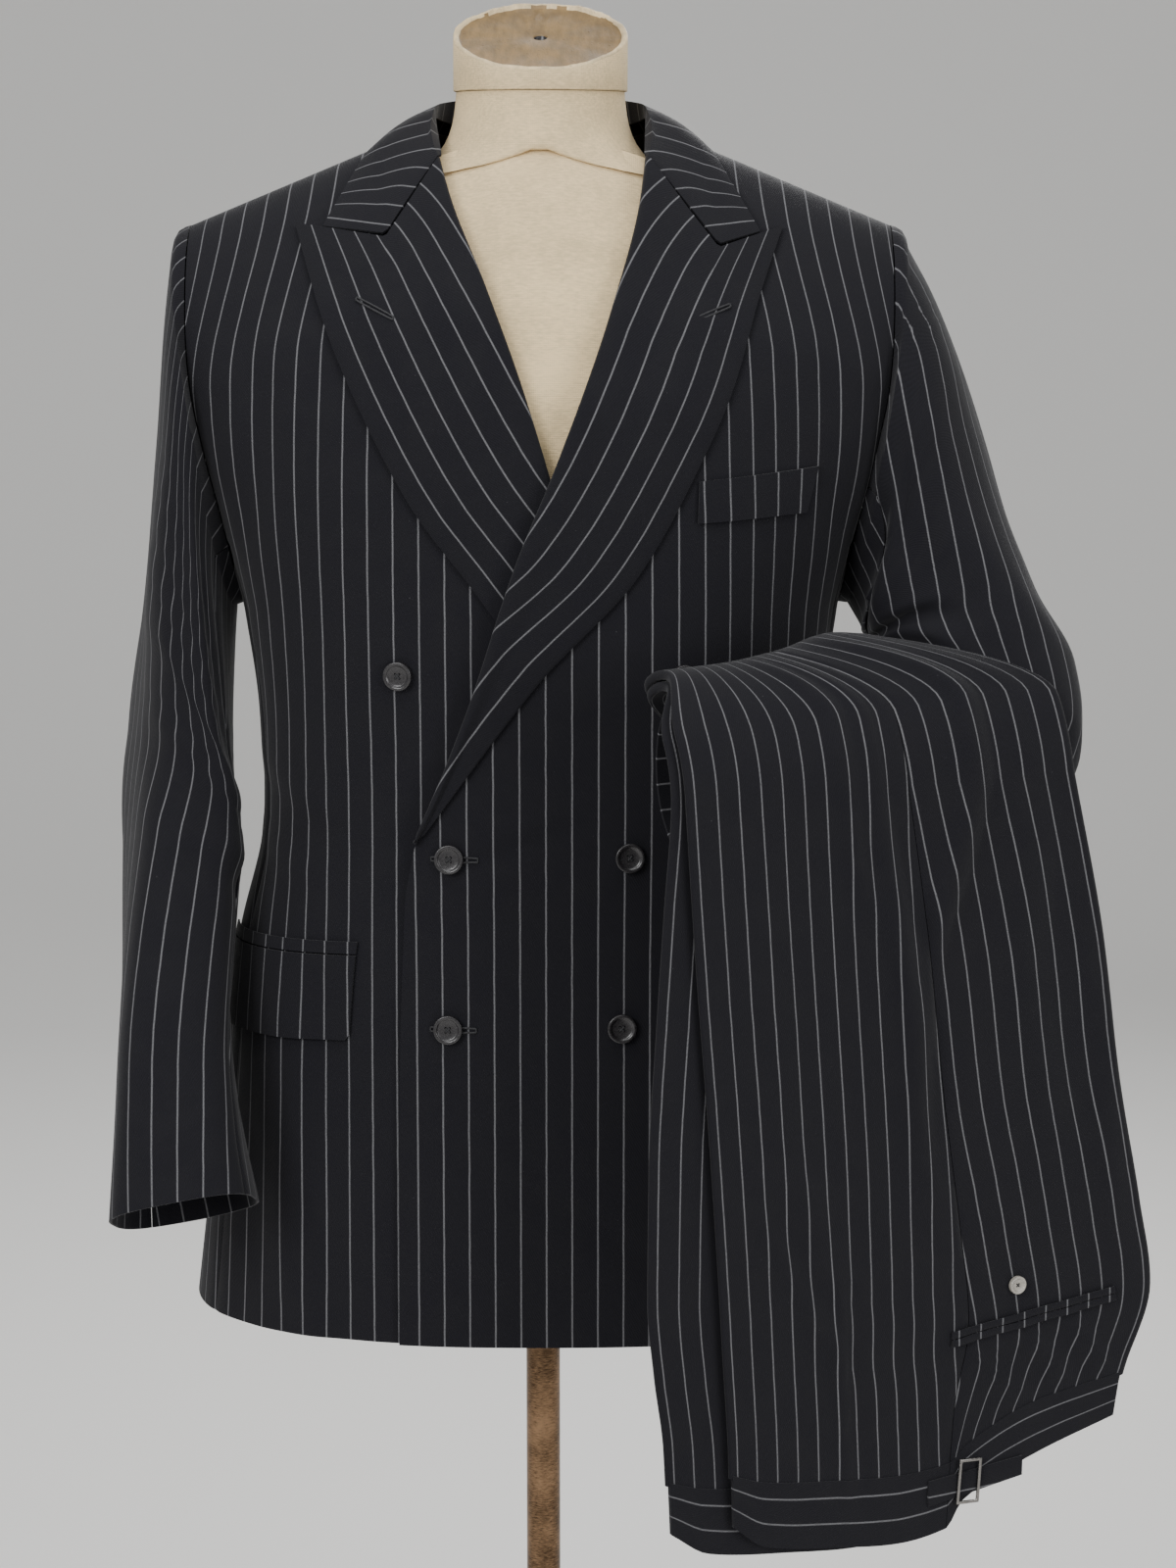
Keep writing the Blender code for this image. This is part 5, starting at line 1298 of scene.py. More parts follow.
def sleeve_loops(arm, angles):
    """Loops of a sleeve, from the armhole down to the cuff, at the given angles round the cloth."""
    places = np.linspace(0, len(arm.rings) - 1, arm.rows)
    outer, inner = (
        np.stack([read(arm.rings, f"{edge}_{axis}", places) for axis in "xyz"], axis=1)
        for edge in ("outer", "inner")
    )
    deep = read(arm.rings, "deep", places)
    power = read(arm.rings, "power", places)
    middle = (outer + inner) / 2
    path = np.gradient(middle, axis=0)
    straight = np.array((0.0, -1.0, 0.0))
    loops = []
    for row, place in enumerate(places):
        half = (outer[row] - inner[row]) / 2
        front = unit(mix(straight, unit(np.cross(path[row], half)), smooth(place / RING_SETTLED)))
        turned = angles + arm.twist * twist_share(place, arm)
        out = np.outer(flattened(np.cos(turned), power[row]), half)
        ahead = np.outer(flattened(np.sin(turned), power[row]), front * deep[row])
        loops.append((middle[row] + out + ahead) * (arm.side, 1, 1))
    edge = armhole(arm.side, angles) + (arm.side * SLEEVE_JOIN, 0, 0)
    head = [edge]
    for part in HEAD_PARTS:
        up = np.array((arm.side * 0.6, 0.0, 0.8)) * HEAD_SWELL * math.sin(math.pi * part)
        head.append(mix(edge, loops[0], part) + np.maximum(np.cos(angles), 0)[:, None] * up)
    return np.array(head + loops)


def ring_places(arm):
    """The place in the arm's table of each of its loops, the loops of the head at 0."""
    return np.concatenate((np.zeros(len(HEAD_PARTS) + 1), np.linspace(0, len(arm.rings) - 1, arm.rows)))


def twist_share(place, arm):
    """How much of its twist a sleeve has taken by this place."""
    return smooth(place / (TWIST_SHARE * (len(arm.rings) - 1)))


def sleeve_normals(arm, angles, points):
    """Outward normals of a sleeve's loops."""
    step = 0.02
    across = sleeve_loops(arm, angles + step) - sleeve_loops(arm, angles - step)
    normal = np.cross(np.gradient(points, axis=0), across)
    normal = normal / np.maximum(np.linalg.norm(normal, axis=-1, keepdims=True), 1e-12)
    middle = sleeve_loops(arm, np.linspace(0, 2 * math.pi, 13)[:-1]).mean(axis=1)[:, None]
    normal = normal * np.where(np.sum(normal * (points - middle), axis=-1, keepdims=True) < 0, -1, 1)
    normal[0, :, 0] = 0
    normal[0] = normal[0] / np.linalg.norm(normal[0], axis=-1, keepdims=True)
    return normal


def sleeve_map(arm, points, angles, line_angle):
    """(across, down) distances of a sleeve's cut, from a line that runs straight down the arm."""
    run = run_across(points)
    starts = line_angle - arm.twist * twist_share(ring_places(arm), arm)
    across = run - np.array([np.interp(start, angles, row) for start, row in zip(starts, run)])[:, None]
    down = run_along(points[:, len(angles) // 2])
    return across, np.broadcast_to(down[:, None], across.shape)


def hanging_map(arm, points, across):
    """Distances round a bent sleeve, level by level on its upper arm, so that its stripes hang straight."""
    places = ring_places(arm)
    upper = points[places < HANGING_TO + HANGING_FADE][::-1]
    levels = np.linspace(*HANGING_LEVELS, 80)
    high, low = HANGING_LINE
    line = high.x + (low.x - high.x) * (high.z - levels) / (high.z - low.z)
    runs = []
    for level, start in zip(levels, line):
        cut = []
        for column in range(upper.shape[1]):
            height = np.maximum.accumulate(upper[:, column, 2])
            cut.append([np.interp(level, height, upper[:, column, axis]) for axis in (0, 1)])
        cut = np.array(cut)
        run = run_along(cut)
        widest = int(np.argmax(cut[:, 0]))
        front = cut[widest:, 0][::-1]
        runs.append(run - np.interp(start, np.maximum.accumulate(front), run[widest:][::-1]))
    runs = np.array(runs).T
    hung = np.stack([np.interp(points[:, column, 2], levels, run) for column, run in enumerate(runs)], 1)
    elbow = int(np.argmin(np.abs(places - HANGING_TO - HANGING_FADE / 2)))
    middle = across.shape[1] // 2
    matched = across + hung[elbow, middle] - across[elbow, middle]
    return mix(hung, matched, smooth((places - HANGING_TO) / HANGING_FADE)[:, None])


def sleeve_surface(word, first, last, columns, line_angle):
    arm = ARMS[word]
    angles = np.linspace(first + 0.004, last - 0.004, columns)
    points = sleeve_loops(arm, angles)
    across, down = sleeve_map(arm, points, angles, line_angle)
    creases = RIGHT_SLEEVE_CREASES if word == "right" else LEFT_SLEEVE_CREASES
    height = ripple(creases, across, down) * smooth(down / 0.05)
    edge = np.minimum(np.linspace(0, 0.2, columns), np.linspace(0.2, 0, columns))[None, :]
    normal = sleeve_normals(arm, angles, points)
    return points + normal * (height + pinch(edge))[..., None], across, down, normal


def sleeve(word):
    """Top sleeve and under sleeve of one arm."""
    arm = ARMS[word]
    under_line = (arm.front_seam + arm.back_seam + math.tau + arm.twist) / 2
    for piece, first, last, columns, line_angle in (
        ("top_sleeve", arm.back_seam, arm.front_seam, 64, math.pi / 2),
        ("under_sleeve", arm.front_seam, arm.back_seam + math.tau, 44, under_line),
    ):
        name = f"{piece}_{word}"
        points, across, down, normal = sleeve_surface(word, first, last, columns, line_angle)
        middle = (points.shape[0] // 2, columns // 2)
        inside = points[middle] - normal[middle] * 0.02
        if name == "top_sleeve_left":
            across = hanging_map(arm, points, across)
        uv = stripe_map(across, down, SLEEVE_STRIPE)
        cloth_piece(name, points, uv, inside)


def place_mesh(piece, matrix):
    """Moves the piece's own mesh, so that its object stays at the origin."""
    piece.data.transform(matrix)
    piece.matrix_world = Matrix.Identity(4)


def facing(at, out, up=(0.0, 0.0, 1.0)):
    """The placing that turns +Z to a direction, with +Y as near to up as it can be."""
    z_axis = Vector(out).normalized()
    x_axis = Vector(up).cross(z_axis).normalized()
    y_axis = z_axis.cross(x_axis)
    turn = Matrix((x_axis, y_axis, z_axis)).transposed().to_4x4()
    return Matrix.Translation(Vector(at)) @ turn


def inset_top(piece, steps):
    """Insets the faces on top, step by step, each by a width and a depth."""
    for part in (*piece.data.vertices, *piece.data.edges):
        part.select = False
    for face in piece.data.polygons:
        face.select = face.normal.z > 0.9
    bpy.ops.object.mode_set(mode="EDIT")
    bpy.ops.mesh.select_mode(type="FACE")
    for width, depth in steps:
        bpy.ops.mesh.inset(thickness=width, depth=depth)
    bpy.ops.object.mode_set(mode="OBJECT")


def cylinder(vertices, radius, depth, at, turn=None):
    """A cylinder, first turned and then moved, its object at the origin."""
    deselect_all()
    bpy.ops.mesh.primitive_cylinder_add(vertices=vertices, radius=radius, depth=depth)
    made = bpy.context.object
    place_mesh(made, Matrix.Translation(at) @ (turn or Matrix.Identity(4)))
    return made


def button_master(width, thick):
    """A horn button: a turned disc with a rolled rim and a dished middle, drilled four times."""
    radius = width / 2
    disc = cylinder(48, radius, thick, (0, 0, thick / 2))
    inset_top(disc, ((radius * 0.20, 0), (radius * 0.12, -thick * 0.30), (radius * 0.30, -thick * 0.06)))
    bevel(disc, thick * 0.16, 3, 40)
    spacing = radius * 0.20
    for angle in np.radians((45, 135, 225, 315)):
        at = (spacing * math.cos(angle), spacing * math.sin(angle), thick / 2)
        drill = cylinder(14, radius * 0.085, thick * 3, at)
        cut = disc.modifiers.new("hole", "BOOLEAN")
        cut.operation = "DIFFERENCE"
        cut.solver = "EXACT"
        cut.object = drill
        apply_modifiers(disc)
        bpy.data.objects.remove(drill, do_unlink=True)
    smooth_by_angle(disc, 35)
    return disc


def thread_master(width, thick):
    """The crossed threads that hold a button, through its four holes and down to the cloth."""
    length = width * 0.155 * math.sqrt(2)
    strands = []
    for angle in (45, 135):
        turn = Matrix.Rotation(math.radians(angle), 4, "Z") @ Matrix.Rotation(math.radians(90), 4, "Y")
        strands.append(cylinder(8, width * 0.032, length, (0, 0, thick * 0.70), turn))
    select_only(strands[0])
    strands[1].select_set(True)
    bpy.ops.object.join()
    made = bpy.context.object
    smooth_by_angle(made, 60)
    return made


def copy_to(master, name, matrix, paint):
    made = new_object(name, master.data.copy())
    made.data.transform(matrix)
    made.data.materials.clear()
    made.data.materials.append(finish_of(paint))
    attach(made, "root")
    return made


def front_surface(x, z, lift):
    """(point, normal) on the worn front at a place, out by a lift from the cloth's own face."""
    level = level_at(x, z)
    turn = turn_at(x, level)
    return offset(turn, level, lift + body_folds(turn, level)), torso_normal(turn, level)


def sew_buttons(width, thick, places, paint="dark_horn"):
    masters = button_master(width, thick), thread_master(width, thick)
    for name, at, out in places:
        placed = facing(at, out)
        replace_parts(copy_to(masters[0], f"{name}_horn", placed, paint), name)
        copy_to(masters[1], f"{name}_thread", placed, "navy_silk")
    for master in masters:
        bpy.data.objects.remove(master, do_unlink=True)


def front_button_places():
    places = []
    for name, spot in FRONT_BUTTONS.items():
        lift = 0.0 if name == UNDER_FRONT_BUTTON else float(overlap_lift(spot.x, spot.z))
        at, out = front_surface(np.array(spot.x), np.array(spot.z), lift + 0.0006)
        places.append((name, at, out))
    return places


def sleeve_button_places(word):
    arm = ARMS[word]
    angle = np.array((arm.buttons,))
    points = sleeve_loops(arm, angle)
    normal = sleeve_normals(arm, angle, points)[::-1, 0]
    line = points[::-1, 0]
    run = run_along(line)
    places = []
    for index in range(SLEEVE_BUTTONS):
        distance = SLEEVE_BUTTON_FROM_CUFF + index * SLEEVE_BUTTON_STEP
        at = along_line(distance, run, line)
        out = unit(along_line(distance, run, normal))
        places.append((f"sleeve_button_{word}_{index + 1}", at + out * 0.0003, out))
    return places


def buttonhole(name, first, last, lift, wide=0.0034):
    """A worked buttonhole: silk stitches set close round a slit in the cloth."""
    start = np.array(first)
    end = np.array(last)
    along = unit(end - start)
    side = np.array((-along[1], along[0]))
    half = np.linalg.norm(end - start) / 2
    middle = []
    for turn in np.arange(HOLE_STITCHES) / HOLE_STITCHES * math.tau:
        reach = np.clip(1.6 * math.cos(turn), -1, 1) * half
        middle.append((start + end) / 2 + along * reach + side * math.sin(turn) * wide / 2)
    rings = []
    for index, spot in enumerate(middle):
        at, out = front_surface(np.array(spot[0]), np.array(spot[1]), lift)
        step = middle[(index + 1) % HOLE_STITCHES] - middle[index - 1]
        across = unit(np.cross(out, unit(np.array((step[0], 0.0, step[1])))))
        thick = 0.0006 if index % 2 else 0.0005
        angles = np.arange(HOLE_SIDES)[:, None] * math.tau / HOLE_SIDES
        rings.append(at + (across * np.cos(angles) * 1.3 + out * np.sin(angles)) * thick)
    points = np.array(rings)
    cells = cell_grid(points)
    made = mesh_object(name, points, tube_quads(np.concatenate((cells, cells[:1]))))
    turn_faces_out(made)
    made.data.shade_smooth()
    made.data.materials.append(finish_of("navy_silk"))
    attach(made, "root")


DRAPE_ALONG = unit(np.array((1.0, DRAPE_SLOPE, 0.0)))
DRAPE_AHEAD = np.array((DRAPE_ALONG[1], -DRAPE_ALONG[0], 0.0))


def drape_points(along, ahead, z):
    """Points at distances along the drape's line, ahead of it and up from the floor."""
    flat = np.array((*DRAPE_ORIGIN, 0.0))
    up = np.array((0.0, 0.0, 1.0))
    return flat + along[..., None] * DRAPE_ALONG + ahead[..., None] * DRAPE_AHEAD + z[..., None] * up


def along_drape(x, ahead):
    return (x - DRAPE_ORIGIN[0] - DRAPE_AHEAD[0] * ahead) / DRAPE_ALONG[0]


def leg_folds(which, x, z):
    """Height of a leg's folds, which never press into the sleeve."""
    return np.maximum(ripple(LEG_CREASES if which == "near" else FAR_LEG_CREASES, x, z), -0.0004)


def drape(which, share, path, out):
    """Points of a leg's hanging cloth, out from the sleeve that it lies on.

    The path is 0 on the crest, 1 where the front drop starts and 2 at the waist seam, and -1 and -2 behind.
    """
    table = LEGS[which]
    share, path, out = np.broadcast_arrays(share, path, out)
    angle = np.clip(path, -1, 1) * math.pi / 2
    front_z = mix(DRAPE_HEIGHT, read(WAISTLINE, "seam", share), np.clip(path - 1, 0, 1))
    side_z = front_z + DRAPE_HALF_HIGH * np.cos(np.clip(angle, 0, math.pi / 2))
    folds = leg_folds(which, mid_x(table, share, front_z), front_z)
    out = out + folds * smooth((angle + math.radians(5)) / math.radians(70))
    wide = DRAPE_HALF_WIDE + out
    behind = np.clip(-path - 1, 0, 1)
    z = DRAPE_HEIGHT + (DRAPE_HALF_HIGH + out + read(CRESTS, "rise", share)) * np.cos(angle)
    z = np.where(path > 1, front_z, z)
    z = np.where(path < -1, DRAPE_HEIGHT - BACK_DROP * behind, z)
    ahead = wide * np.sin(angle) + BACK_LEAN * smooth(behind * 1.8)
    front = along_drape(mid_x(table, share, side_z), wide)
    back_left = mix(BACK_LEFT, BACK_LEFT_LOW, smooth((-angle - BACK_LEFT_FROM) / BACK_LEFT_OVER))
    back = mix(back_left, BACK_RIGHT, share)
    along = mix(front, back, smooth((TURN_BACK_FROM - angle) / TURN_BACK_FROM))
    return drape_points(along, ahead, z)


def mid_x(table, share, z):
    return mix(read(table, "left", z), read(table, "right", z), share)


def leg_paths():
    return np.concatenate((np.linspace(2, 1, 84), np.linspace(0.96, -0.96, 49), np.linspace(-1, -2, 60)))


def leg_section(which, first, last, fold_at_first):
    """(share, out) round one folded panel: outer face, the rounded fold of its crease, inner face."""
    low = LEG_OUT[which]
    radius = LEG_THICK / 2
    width = 0.28
    face = np.linspace(first, last, LEG_COLUMNS)
    angles = np.linspace(math.pi / 2, -math.pi / 2, LEG_FOLD_STEPS + 2)[1:-1]
    reach = radius * np.cos(angles) / width
    if fold_at_first:
        face = face[::-1]
        reach = -reach
    share = np.concatenate((face, face[-1] + reach, face[::-1]))
    faces = np.full(LEG_COLUMNS, low + LEG_THICK), np.full(LEG_COLUMNS, low)
    return share, np.concatenate((faces[0], low + radius + radius * np.sin(angles), faces[1]))


def leg_piece(name, which, first, last, fold_at_first):
    """A folded leg panel. The cloth turns back on itself at the crease and lies double."""
    share, out = leg_section(which, first, last, fold_at_first)
    paths = leg_paths()
    edge = np.minimum(1.0, np.abs(share - SIDE_SEAM_SHARE) / 0.02)
    out = out + np.where(out > LEG_OUT[which] + LEG_THICK / 2, -0.0012 * (1 - edge) ** 2, 0)
    points = drape(which, share, paths[:, None], out)
    crease = LEG_COLUMNS + LEG_FOLD_STEPS // 2
    run = run_across(points)
    across = (run - run[:, crease : crease + 1]) * (1.10 if fold_at_first else 1.0)
    turned = paths < TURN_BACK_FROM / (math.pi / 2)
    across[turned] = across[~turned][-1]
    down = run_along(points[:, crease])
    uv = stripe_map(across, np.broadcast_to(down[:, None], across.shape), LEG_STRIPE)
    made = closed_section(f"{name}_cloth", points, uv)
    dress(made, name)


def closed_section(name, points, uv):
    """A closed body from rings of points, its two ends capped."""
    cells = cell_grid(points)
    quads = tube_quads(cells)
    columns = cells.shape[1]
    half = columns // 2
    for ring in (cells[0].tolist(), cells[-1].tolist()):
        for index in range(half - 1):
            near = (index, index + 1, columns - 2 - index, columns - 1 - index)
            quads.append([ring[place] for place in near])
        if columns % 2:
            quads.append(ring[half - 1 : half + 2])
    made = mesh_object(name, points, quads)
    write_map(made.data, uv)
    turn_faces_out(made)
    return made


def leg_front(which, x, z, out):
    """Points in the plane of a leg's front drop, at a given x and z."""
    x, z, out = np.broadcast_arrays(x, z, out)
    ahead = DRAPE_HALF_WIDE + out + (leg_folds(which, x, z) if which == "near" else 0.0)
    return drape_points(along_drape(x, ahead), ahead, z)


def waistband(name, which, first, last, columns):
    """A length of waistband. Its stripes run along it."""
    shares = np.linspace(first, last, columns)
    level = np.linspace(0, 1, WAISTBAND_ROWS)[:, None]
    z = mix(read(WAISTLINE, "seam", shares) + WAISTBAND_LAP, read(WAISTLINE, "edge", shares), level)
    x = mid_x(LEGS[which], shares[None, :], z)
    out = LEG_OUT[which] + LEG_THICK + PATCH_LIFT + 0.0006 * np.sin(math.pi * level)
    points = leg_front(which, x, z, out)
    down = np.broadcast_to(level * WAISTBAND_WIDE, z.shape)
    uv = stripe_map(down, x / DRAPE_ALONG[0], WAISTBAND_STRIPE)
    inside = points[WAISTBAND_ROWS // 2, columns // 2] - DRAPE_AHEAD * 0.05
    cloth_piece(name, points, uv, inside, WAISTBAND_THICK - 0.0004)


def leg_patch(name, corners, rows, columns, wall, upright=True):
    """A four-cornered piece on the near leg, its corners given from the lower left round."""
    x, z, up = corner_grid(corners, rows, columns)
    bow = 0.0006 * np.sin(math.pi * up)
    points = leg_front("near", x, z, LEG_OUT["near"] + LEG_THICK + PATCH_LIFT + wall + bow)
    run = x / DRAPE_ALONG[0]
    uv = stripe_map(run, z, 0.002) if upright else stripe_map(z - corners[0].z, run, 0.007)
    inside = points[rows // 2, columns // 2] - DRAPE_AHEAD * 0.05
    cloth_piece(name, points, uv, inside, wall)


def wire_buckle(name):
    """The side adjuster's buckle: a rectangle of plated wire with round corners."""
    deselect_all()
    bpy.ops.mesh.primitive_plane_add(size=1)
    made = bpy.context.object
    made.name = f"{name}_wire"
    place_mesh(made, Matrix.Diagonal((BUCKLE_WIDE + BUCKLE_WIRE, BUCKLE_HIGH + BUCKLE_WIRE, 1, 1)))
    bpy.ops.object.mode_set(mode="EDIT")
    bpy.ops.mesh.select_all(action="SELECT")
    bpy.ops.mesh.inset(thickness=BUCKLE_WIRE)
    bpy.ops.mesh.delete(type="FACE")
    bpy.ops.mesh.select_all(action="SELECT")
    bpy.ops.mesh.extrude_region_move(TRANSFORM_OT_translate={"value": (0, 0, BUCKLE_WIRE * 0.8)})
    bpy.ops.object.mode_set(mode="OBJECT")
    turn_faces_out(made)
    bevel(made, BUCKLE_WIRE * 0.28, 3)
    smooth_by_angle(made, 40)
    at = leg_front("near", *BUCKLE_MIDDLE, LEG_OUT["near"] + LEG_THICK + BUCKLE_LIFT)
    place_mesh(made, facing(at, DRAPE_AHEAD) @ Matrix.Rotation(math.radians(-4), 4, "Z"))
    made.data.materials.append(finish_of("plated_wire"))
    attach(made, "root")
    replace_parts(made, name)


def ring_mesh(name, rings, paint, degrees):
    """A turned or lofted body from closed rings, with both ends closed."""
    rings = np.array(rings)
    cells = cell_grid(rings)
    made = mesh_object(name, rings, tube_quads(cells) + [cells[0].tolist(), cells[-1].tolist()])
    turn_faces_out(made)
    smooth_by_angle(made, degrees)
    made.data.materials.append(finish_of(paint))
    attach(made, "root")
    return made


def form_body(name):
    """The canvas torso and neck in one smooth skin, drawn in from the jacket's own outline."""
    columns = 96
    turns = (np.arange(columns) + 0.5) * math.tau / columns
    rounded = ROUND_FROM + (SHOULDER - 0.012 - ROUND_FROM) * np.sin(np.linspace(0, math.pi / 2, 24))
    levels = np.concatenate((np.linspace(FORM_BOTTOM, ROUND_FROM, 60)[:-1], rounded))
    rings = []
    for level in levels:
        points = offset(turns, np.full(columns, level), np.full(columns, -FORM_GAP))
        limit = float(read(TORSO, "side", level)) - 0.0125
        middle = float(read(TORSO, "middle", level))
        points[:, 0] = np.clip(points[:, 0], -limit, limit)
        depth = points[:, 1]
        in_front = np.minimum(depth, middle - 0.002)
        points[:, 1] = np.where(np.cos(turns) >= 0, in_front, np.maximum(depth, middle + 0.002))
        rings.append(points)
    top = rings[-1]
    round_neck = np.stack((np.sin(turns), -np.cos(turns)), axis=-1)
    for part in np.linspace(0, 1, 18)[1:]:
        radius = mix(0.086, NECK_RADIUS, smooth(part * 1.3))
        flat = np.stack((round_neck[:, 0] * radius, NECK_MIDDLE + round_neck[:, 1] * radius), axis=-1)
        share = smooth(part / 0.45)
        place = mix(top[:, :2], flat, share)
        z = mix(top[:, 2], NECK_TOP, part)
        z = mix(z, mix(1.50, NECK_TOP, part), share)
        rings.append(np.column_stack((place, z)))
    rings = np.array(rings)
    upper = rings[-NECK_ROWS:]
    for column in range(columns):
        strip = upper[:, column].copy()
        run = run_along(strip)
        even = np.linspace(0, run[-1], NECK_ROWS)
        upper[:, column] = along_line(even, run, strip)
    for _ in range(NECK_PASSES):
        upper[1:-1] = (upper[:-2] + 2 * upper[1:-1] + upper[2:]) / 4
    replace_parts(ring_mesh(name, rings, "linen_canvas", 70), "form_torso")


def neck_cap(name):
    """The tipped end of the neck: a worn pale rim round a brown board with its small hole. The hole's
    shallow floor and walls take the near-black horn finish as painted shade.
    """
    made = cylinder(96, CAP_RADIUS, CAP_THICK, (0, 0, CAP_THICK / 2))
    made.name = name
    inset_top(made, CAP_INSETS)
    for vertex in made.data.vertices:
        x, y, z = vertex.co
        if math.hypot(x, y) > 0.05:
            angle = math.atan2(y, x)
            ragged = sum(part * math.sin(angle * turns + start) for part, turns, start in CAP_RAGGED)
            vertex.co.z += 0.0007 * ragged * (z / CAP_THICK)
            vertex.co.xy *= 1 + 0.005 * ragged * (z / CAP_THICK)
        tip = (vertex.co.y + CAP_RADIUS) * math.tan(CAP_TILT) if z > CAP_THICK / 4 else 0
        vertex.co.z += NECK_TOP + 0.0004 + tip
        vertex.co.y += NECK_MIDDLE
    bevel(made, 0.0009, 2, 50)
    smooth_by_angle(made, 45)
    for paint in ("old_plaster", "old_board", "dark_horn", "linen_canvas"):
        made.data.materials.append(finish_of(paint))
    for face in made.data.polygons:
        reach = math.hypot(face.center.x, face.center.y - NECK_MIDDLE)
        board = reach < CAP_RADIUS - 0.0042 and face.center.z > NECK_TOP + 0.001
        # Faces inside the hole's radius get the near-black horn finish: painted shade that makes the shallow
        # hole look deep and dark.
        face.material_index = 2 if board and reach < CAP_HOLE else int(board)
        if abs(face.normal.z) < 0.25 and reach > CAP_RADIUS - 0.002:
            face.material_index = 3
    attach(made, "root")
    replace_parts(made, "neck_cap")


def turned_piece(name, node, profile, steps, paint, degrees=35):
    """A turned metal piece from a profile of radius and height."""
    around = np.arange(steps) * math.tau / steps
    circle = np.stack((np.cos(around), np.sin(around), np.ones(steps)), axis=-1)
    rings = [circle * (radius, radius, height) for radius, height in profile]
    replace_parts(ring_mesh(name, rings, paint, degrees), node)


def backdrop(name):
    """A pale floor that sweeps up behind the suit without an edge."""
    turn = np.linspace(0, math.pi / 2, 25)
    sweep_y = SWEEP_AT + SWEEP_RADIUS * np.sin(turn)
    sweep_z = SWEEP_RADIUS * (1 - np.cos(turn))
    y = np.concatenate(((-FLOOR_REACH,), sweep_y, (SWEEP_AT + SWEEP_RADIUS,)))
    z = np.concatenate(((0.0,), sweep_z, (9.0,))) - 0.0005
    points = [(x, y[row], z[row]) for row in range(len(y)) for x in (-FLOOR_REACH, FLOOR_REACH)]
    faces = [(2 * row, 2 * row + 1, 2 * row + 3, 2 * row + 2) for row in range(len(y) - 1)]
    made = mesh_object(name, points, faces)
    made.data.shade_smooth()
    made.data.materials.append(finish_of("floor_paint"))


def area_light(name, at, toward, size, power):
    data = bpy.data.lights.new(name, "AREA")
    data.shape = "RECTANGLE"
    data.size, data.size_y = size
    data.energy = power
    made = new_object(name, data)
    made.location = at
    made.rotation_euler = (Vector(toward) - Vector(at)).to_track_quat("-Z", "Y").to_euler()


def length_setting(name, description, default):
    return bpy.props.FloatProperty(name=name, description=description, default=default, unit="LENGTH")


def colour_setting(name, description, default):
    return bpy.props.FloatVectorProperty(
        name=name, description=description, default=default, subtype="COLOR"
    )


class ClothSettings(bpy.types.PropertyGroup):
    """Sizes and colours of the suiting"""

    wall: length_setting("Cloth", "Thickness of a wall of cloth with its lining", 0.0018)
    pitch: length_setting("Stripe pitch", "Distance between the stripes", 0.01765)
    stripe_width: length_setting("Stripe width", "Width of one stripe", 0.0012)
    colour: colour_setting("Ground", "Colour of the ground cloth", (0.0064, 0.0062, 0.0086))
    stripe_colour: colour_setting("Stripe", "Colour of the stripe", (0.122, 0.122, 0.129))


class TrimSettings(bpy.types.PropertyGroup):
    """Sizes and colours of the buttons"""

    front_button: length_setting("Front button", "Width of a front button", 0.020)
    sleeve_button: length_setting("Sleeve button", "Width of a sleeve button", 0.015)
    button_thick: length_setting("Button thickness", "Thickness of a button at its rim", 0.0040)
    # The horn colour is also the painted shade in the neck cap's hole.
    button_and_hole_shade_colour: colour_setting("Horn", "Colour of the horn buttons", (0.011, 0.010, 0.011))


class FormSettings(bpy.types.PropertyGroup):
    """Colours of the dress form and its stand"""

    linen_colour: colour_setting("Canvas", "Colour of the form's canvas", (0.660, 0.510, 0.290))
    cap_colour: colour_setting("Cap", "Colour of the board in the neck's end", (0.205, 0.128, 0.048))
    brass_colour: colour_setting("Brass", "Colour of the brushed brass", (0.130, 0.080, 0.045))


class StageSettings(bpy.types.PropertyGroup):
    """Camera and floor"""

    lens: bpy.props.FloatProperty(name="Lens", description="Focal length in millimetres", default=77.6)
    pitch: bpy.props.FloatProperty(
        name="Pitch", description="How far the camera looks down", default=math.radians(10), subtype="ANGLE"
    )
    camera_at: bpy.props.FloatVectorProperty(
        name="Camera", description="Place of the camera", default=(0.0333, -2.4008, 1.5161), subtype="XYZ"
    )
    floor_colour: colour_setting("Floor", "Colour of the floor", (0.78, 0.77, 0.75))


class BodyOperator(bpy.types.Operator):
    """Fronts, backs and side panels of the jacket"""

    bl_idname = "suit.body"
    bl_label = "Jacket body"

    def execute(self, context):
        for word, side in (("left", 1), ("right", -1)):
            front_panel(f"front_{word}", side)
            back_panel(f"back_{word}", side)
            side_panel(f"side_panel_{word}", side)
        return {"FINISHED"}


class CollarOperator(bpy.types.Operator):
    """Lapels, collar and the lapels' buttonholes"""

    bl_idname = "suit.collar"
    bl_label = "Collar and lapels"

    def execute(self, context):
        lapel("lapel_left", 1)
        lapel("lapel_right", -1)
        collar("collar")
        wide = LAPEL_HOLE_WIDE
        buttonhole("lapel_hole_right", (-0.121, 1.4400), (-0.096, 1.4280), LAPEL_LIFT + 0.0045, wide)
        buttonhole("lapel_hole_left", (0.105, 1.4270), (0.127, 1.4350), LAPEL_LIFT + 0.0060, wide)
        return {"FINISHED"}


class PocketOperator(bpy.types.Operator):
    """Breast welt, hip jets and flaps"""

    bl_idname = "suit.pockets"
    bl_label = "Pockets"

    def execute(self, context):
        breast_welt("breast_welt")
        hip_pocket(1)
        hip_pocket(-1)
        return {"FINISHED"}


class SleeveOperator(bpy.types.Operator):
    """The hanging sleeve and the bent sleeve"""

    bl_idname = "suit.sleeves"
    bl_label = "Sleeves"

    def execute(self, context):
        sleeve("right")
        sleeve("left")
        return {"FINISHED"}


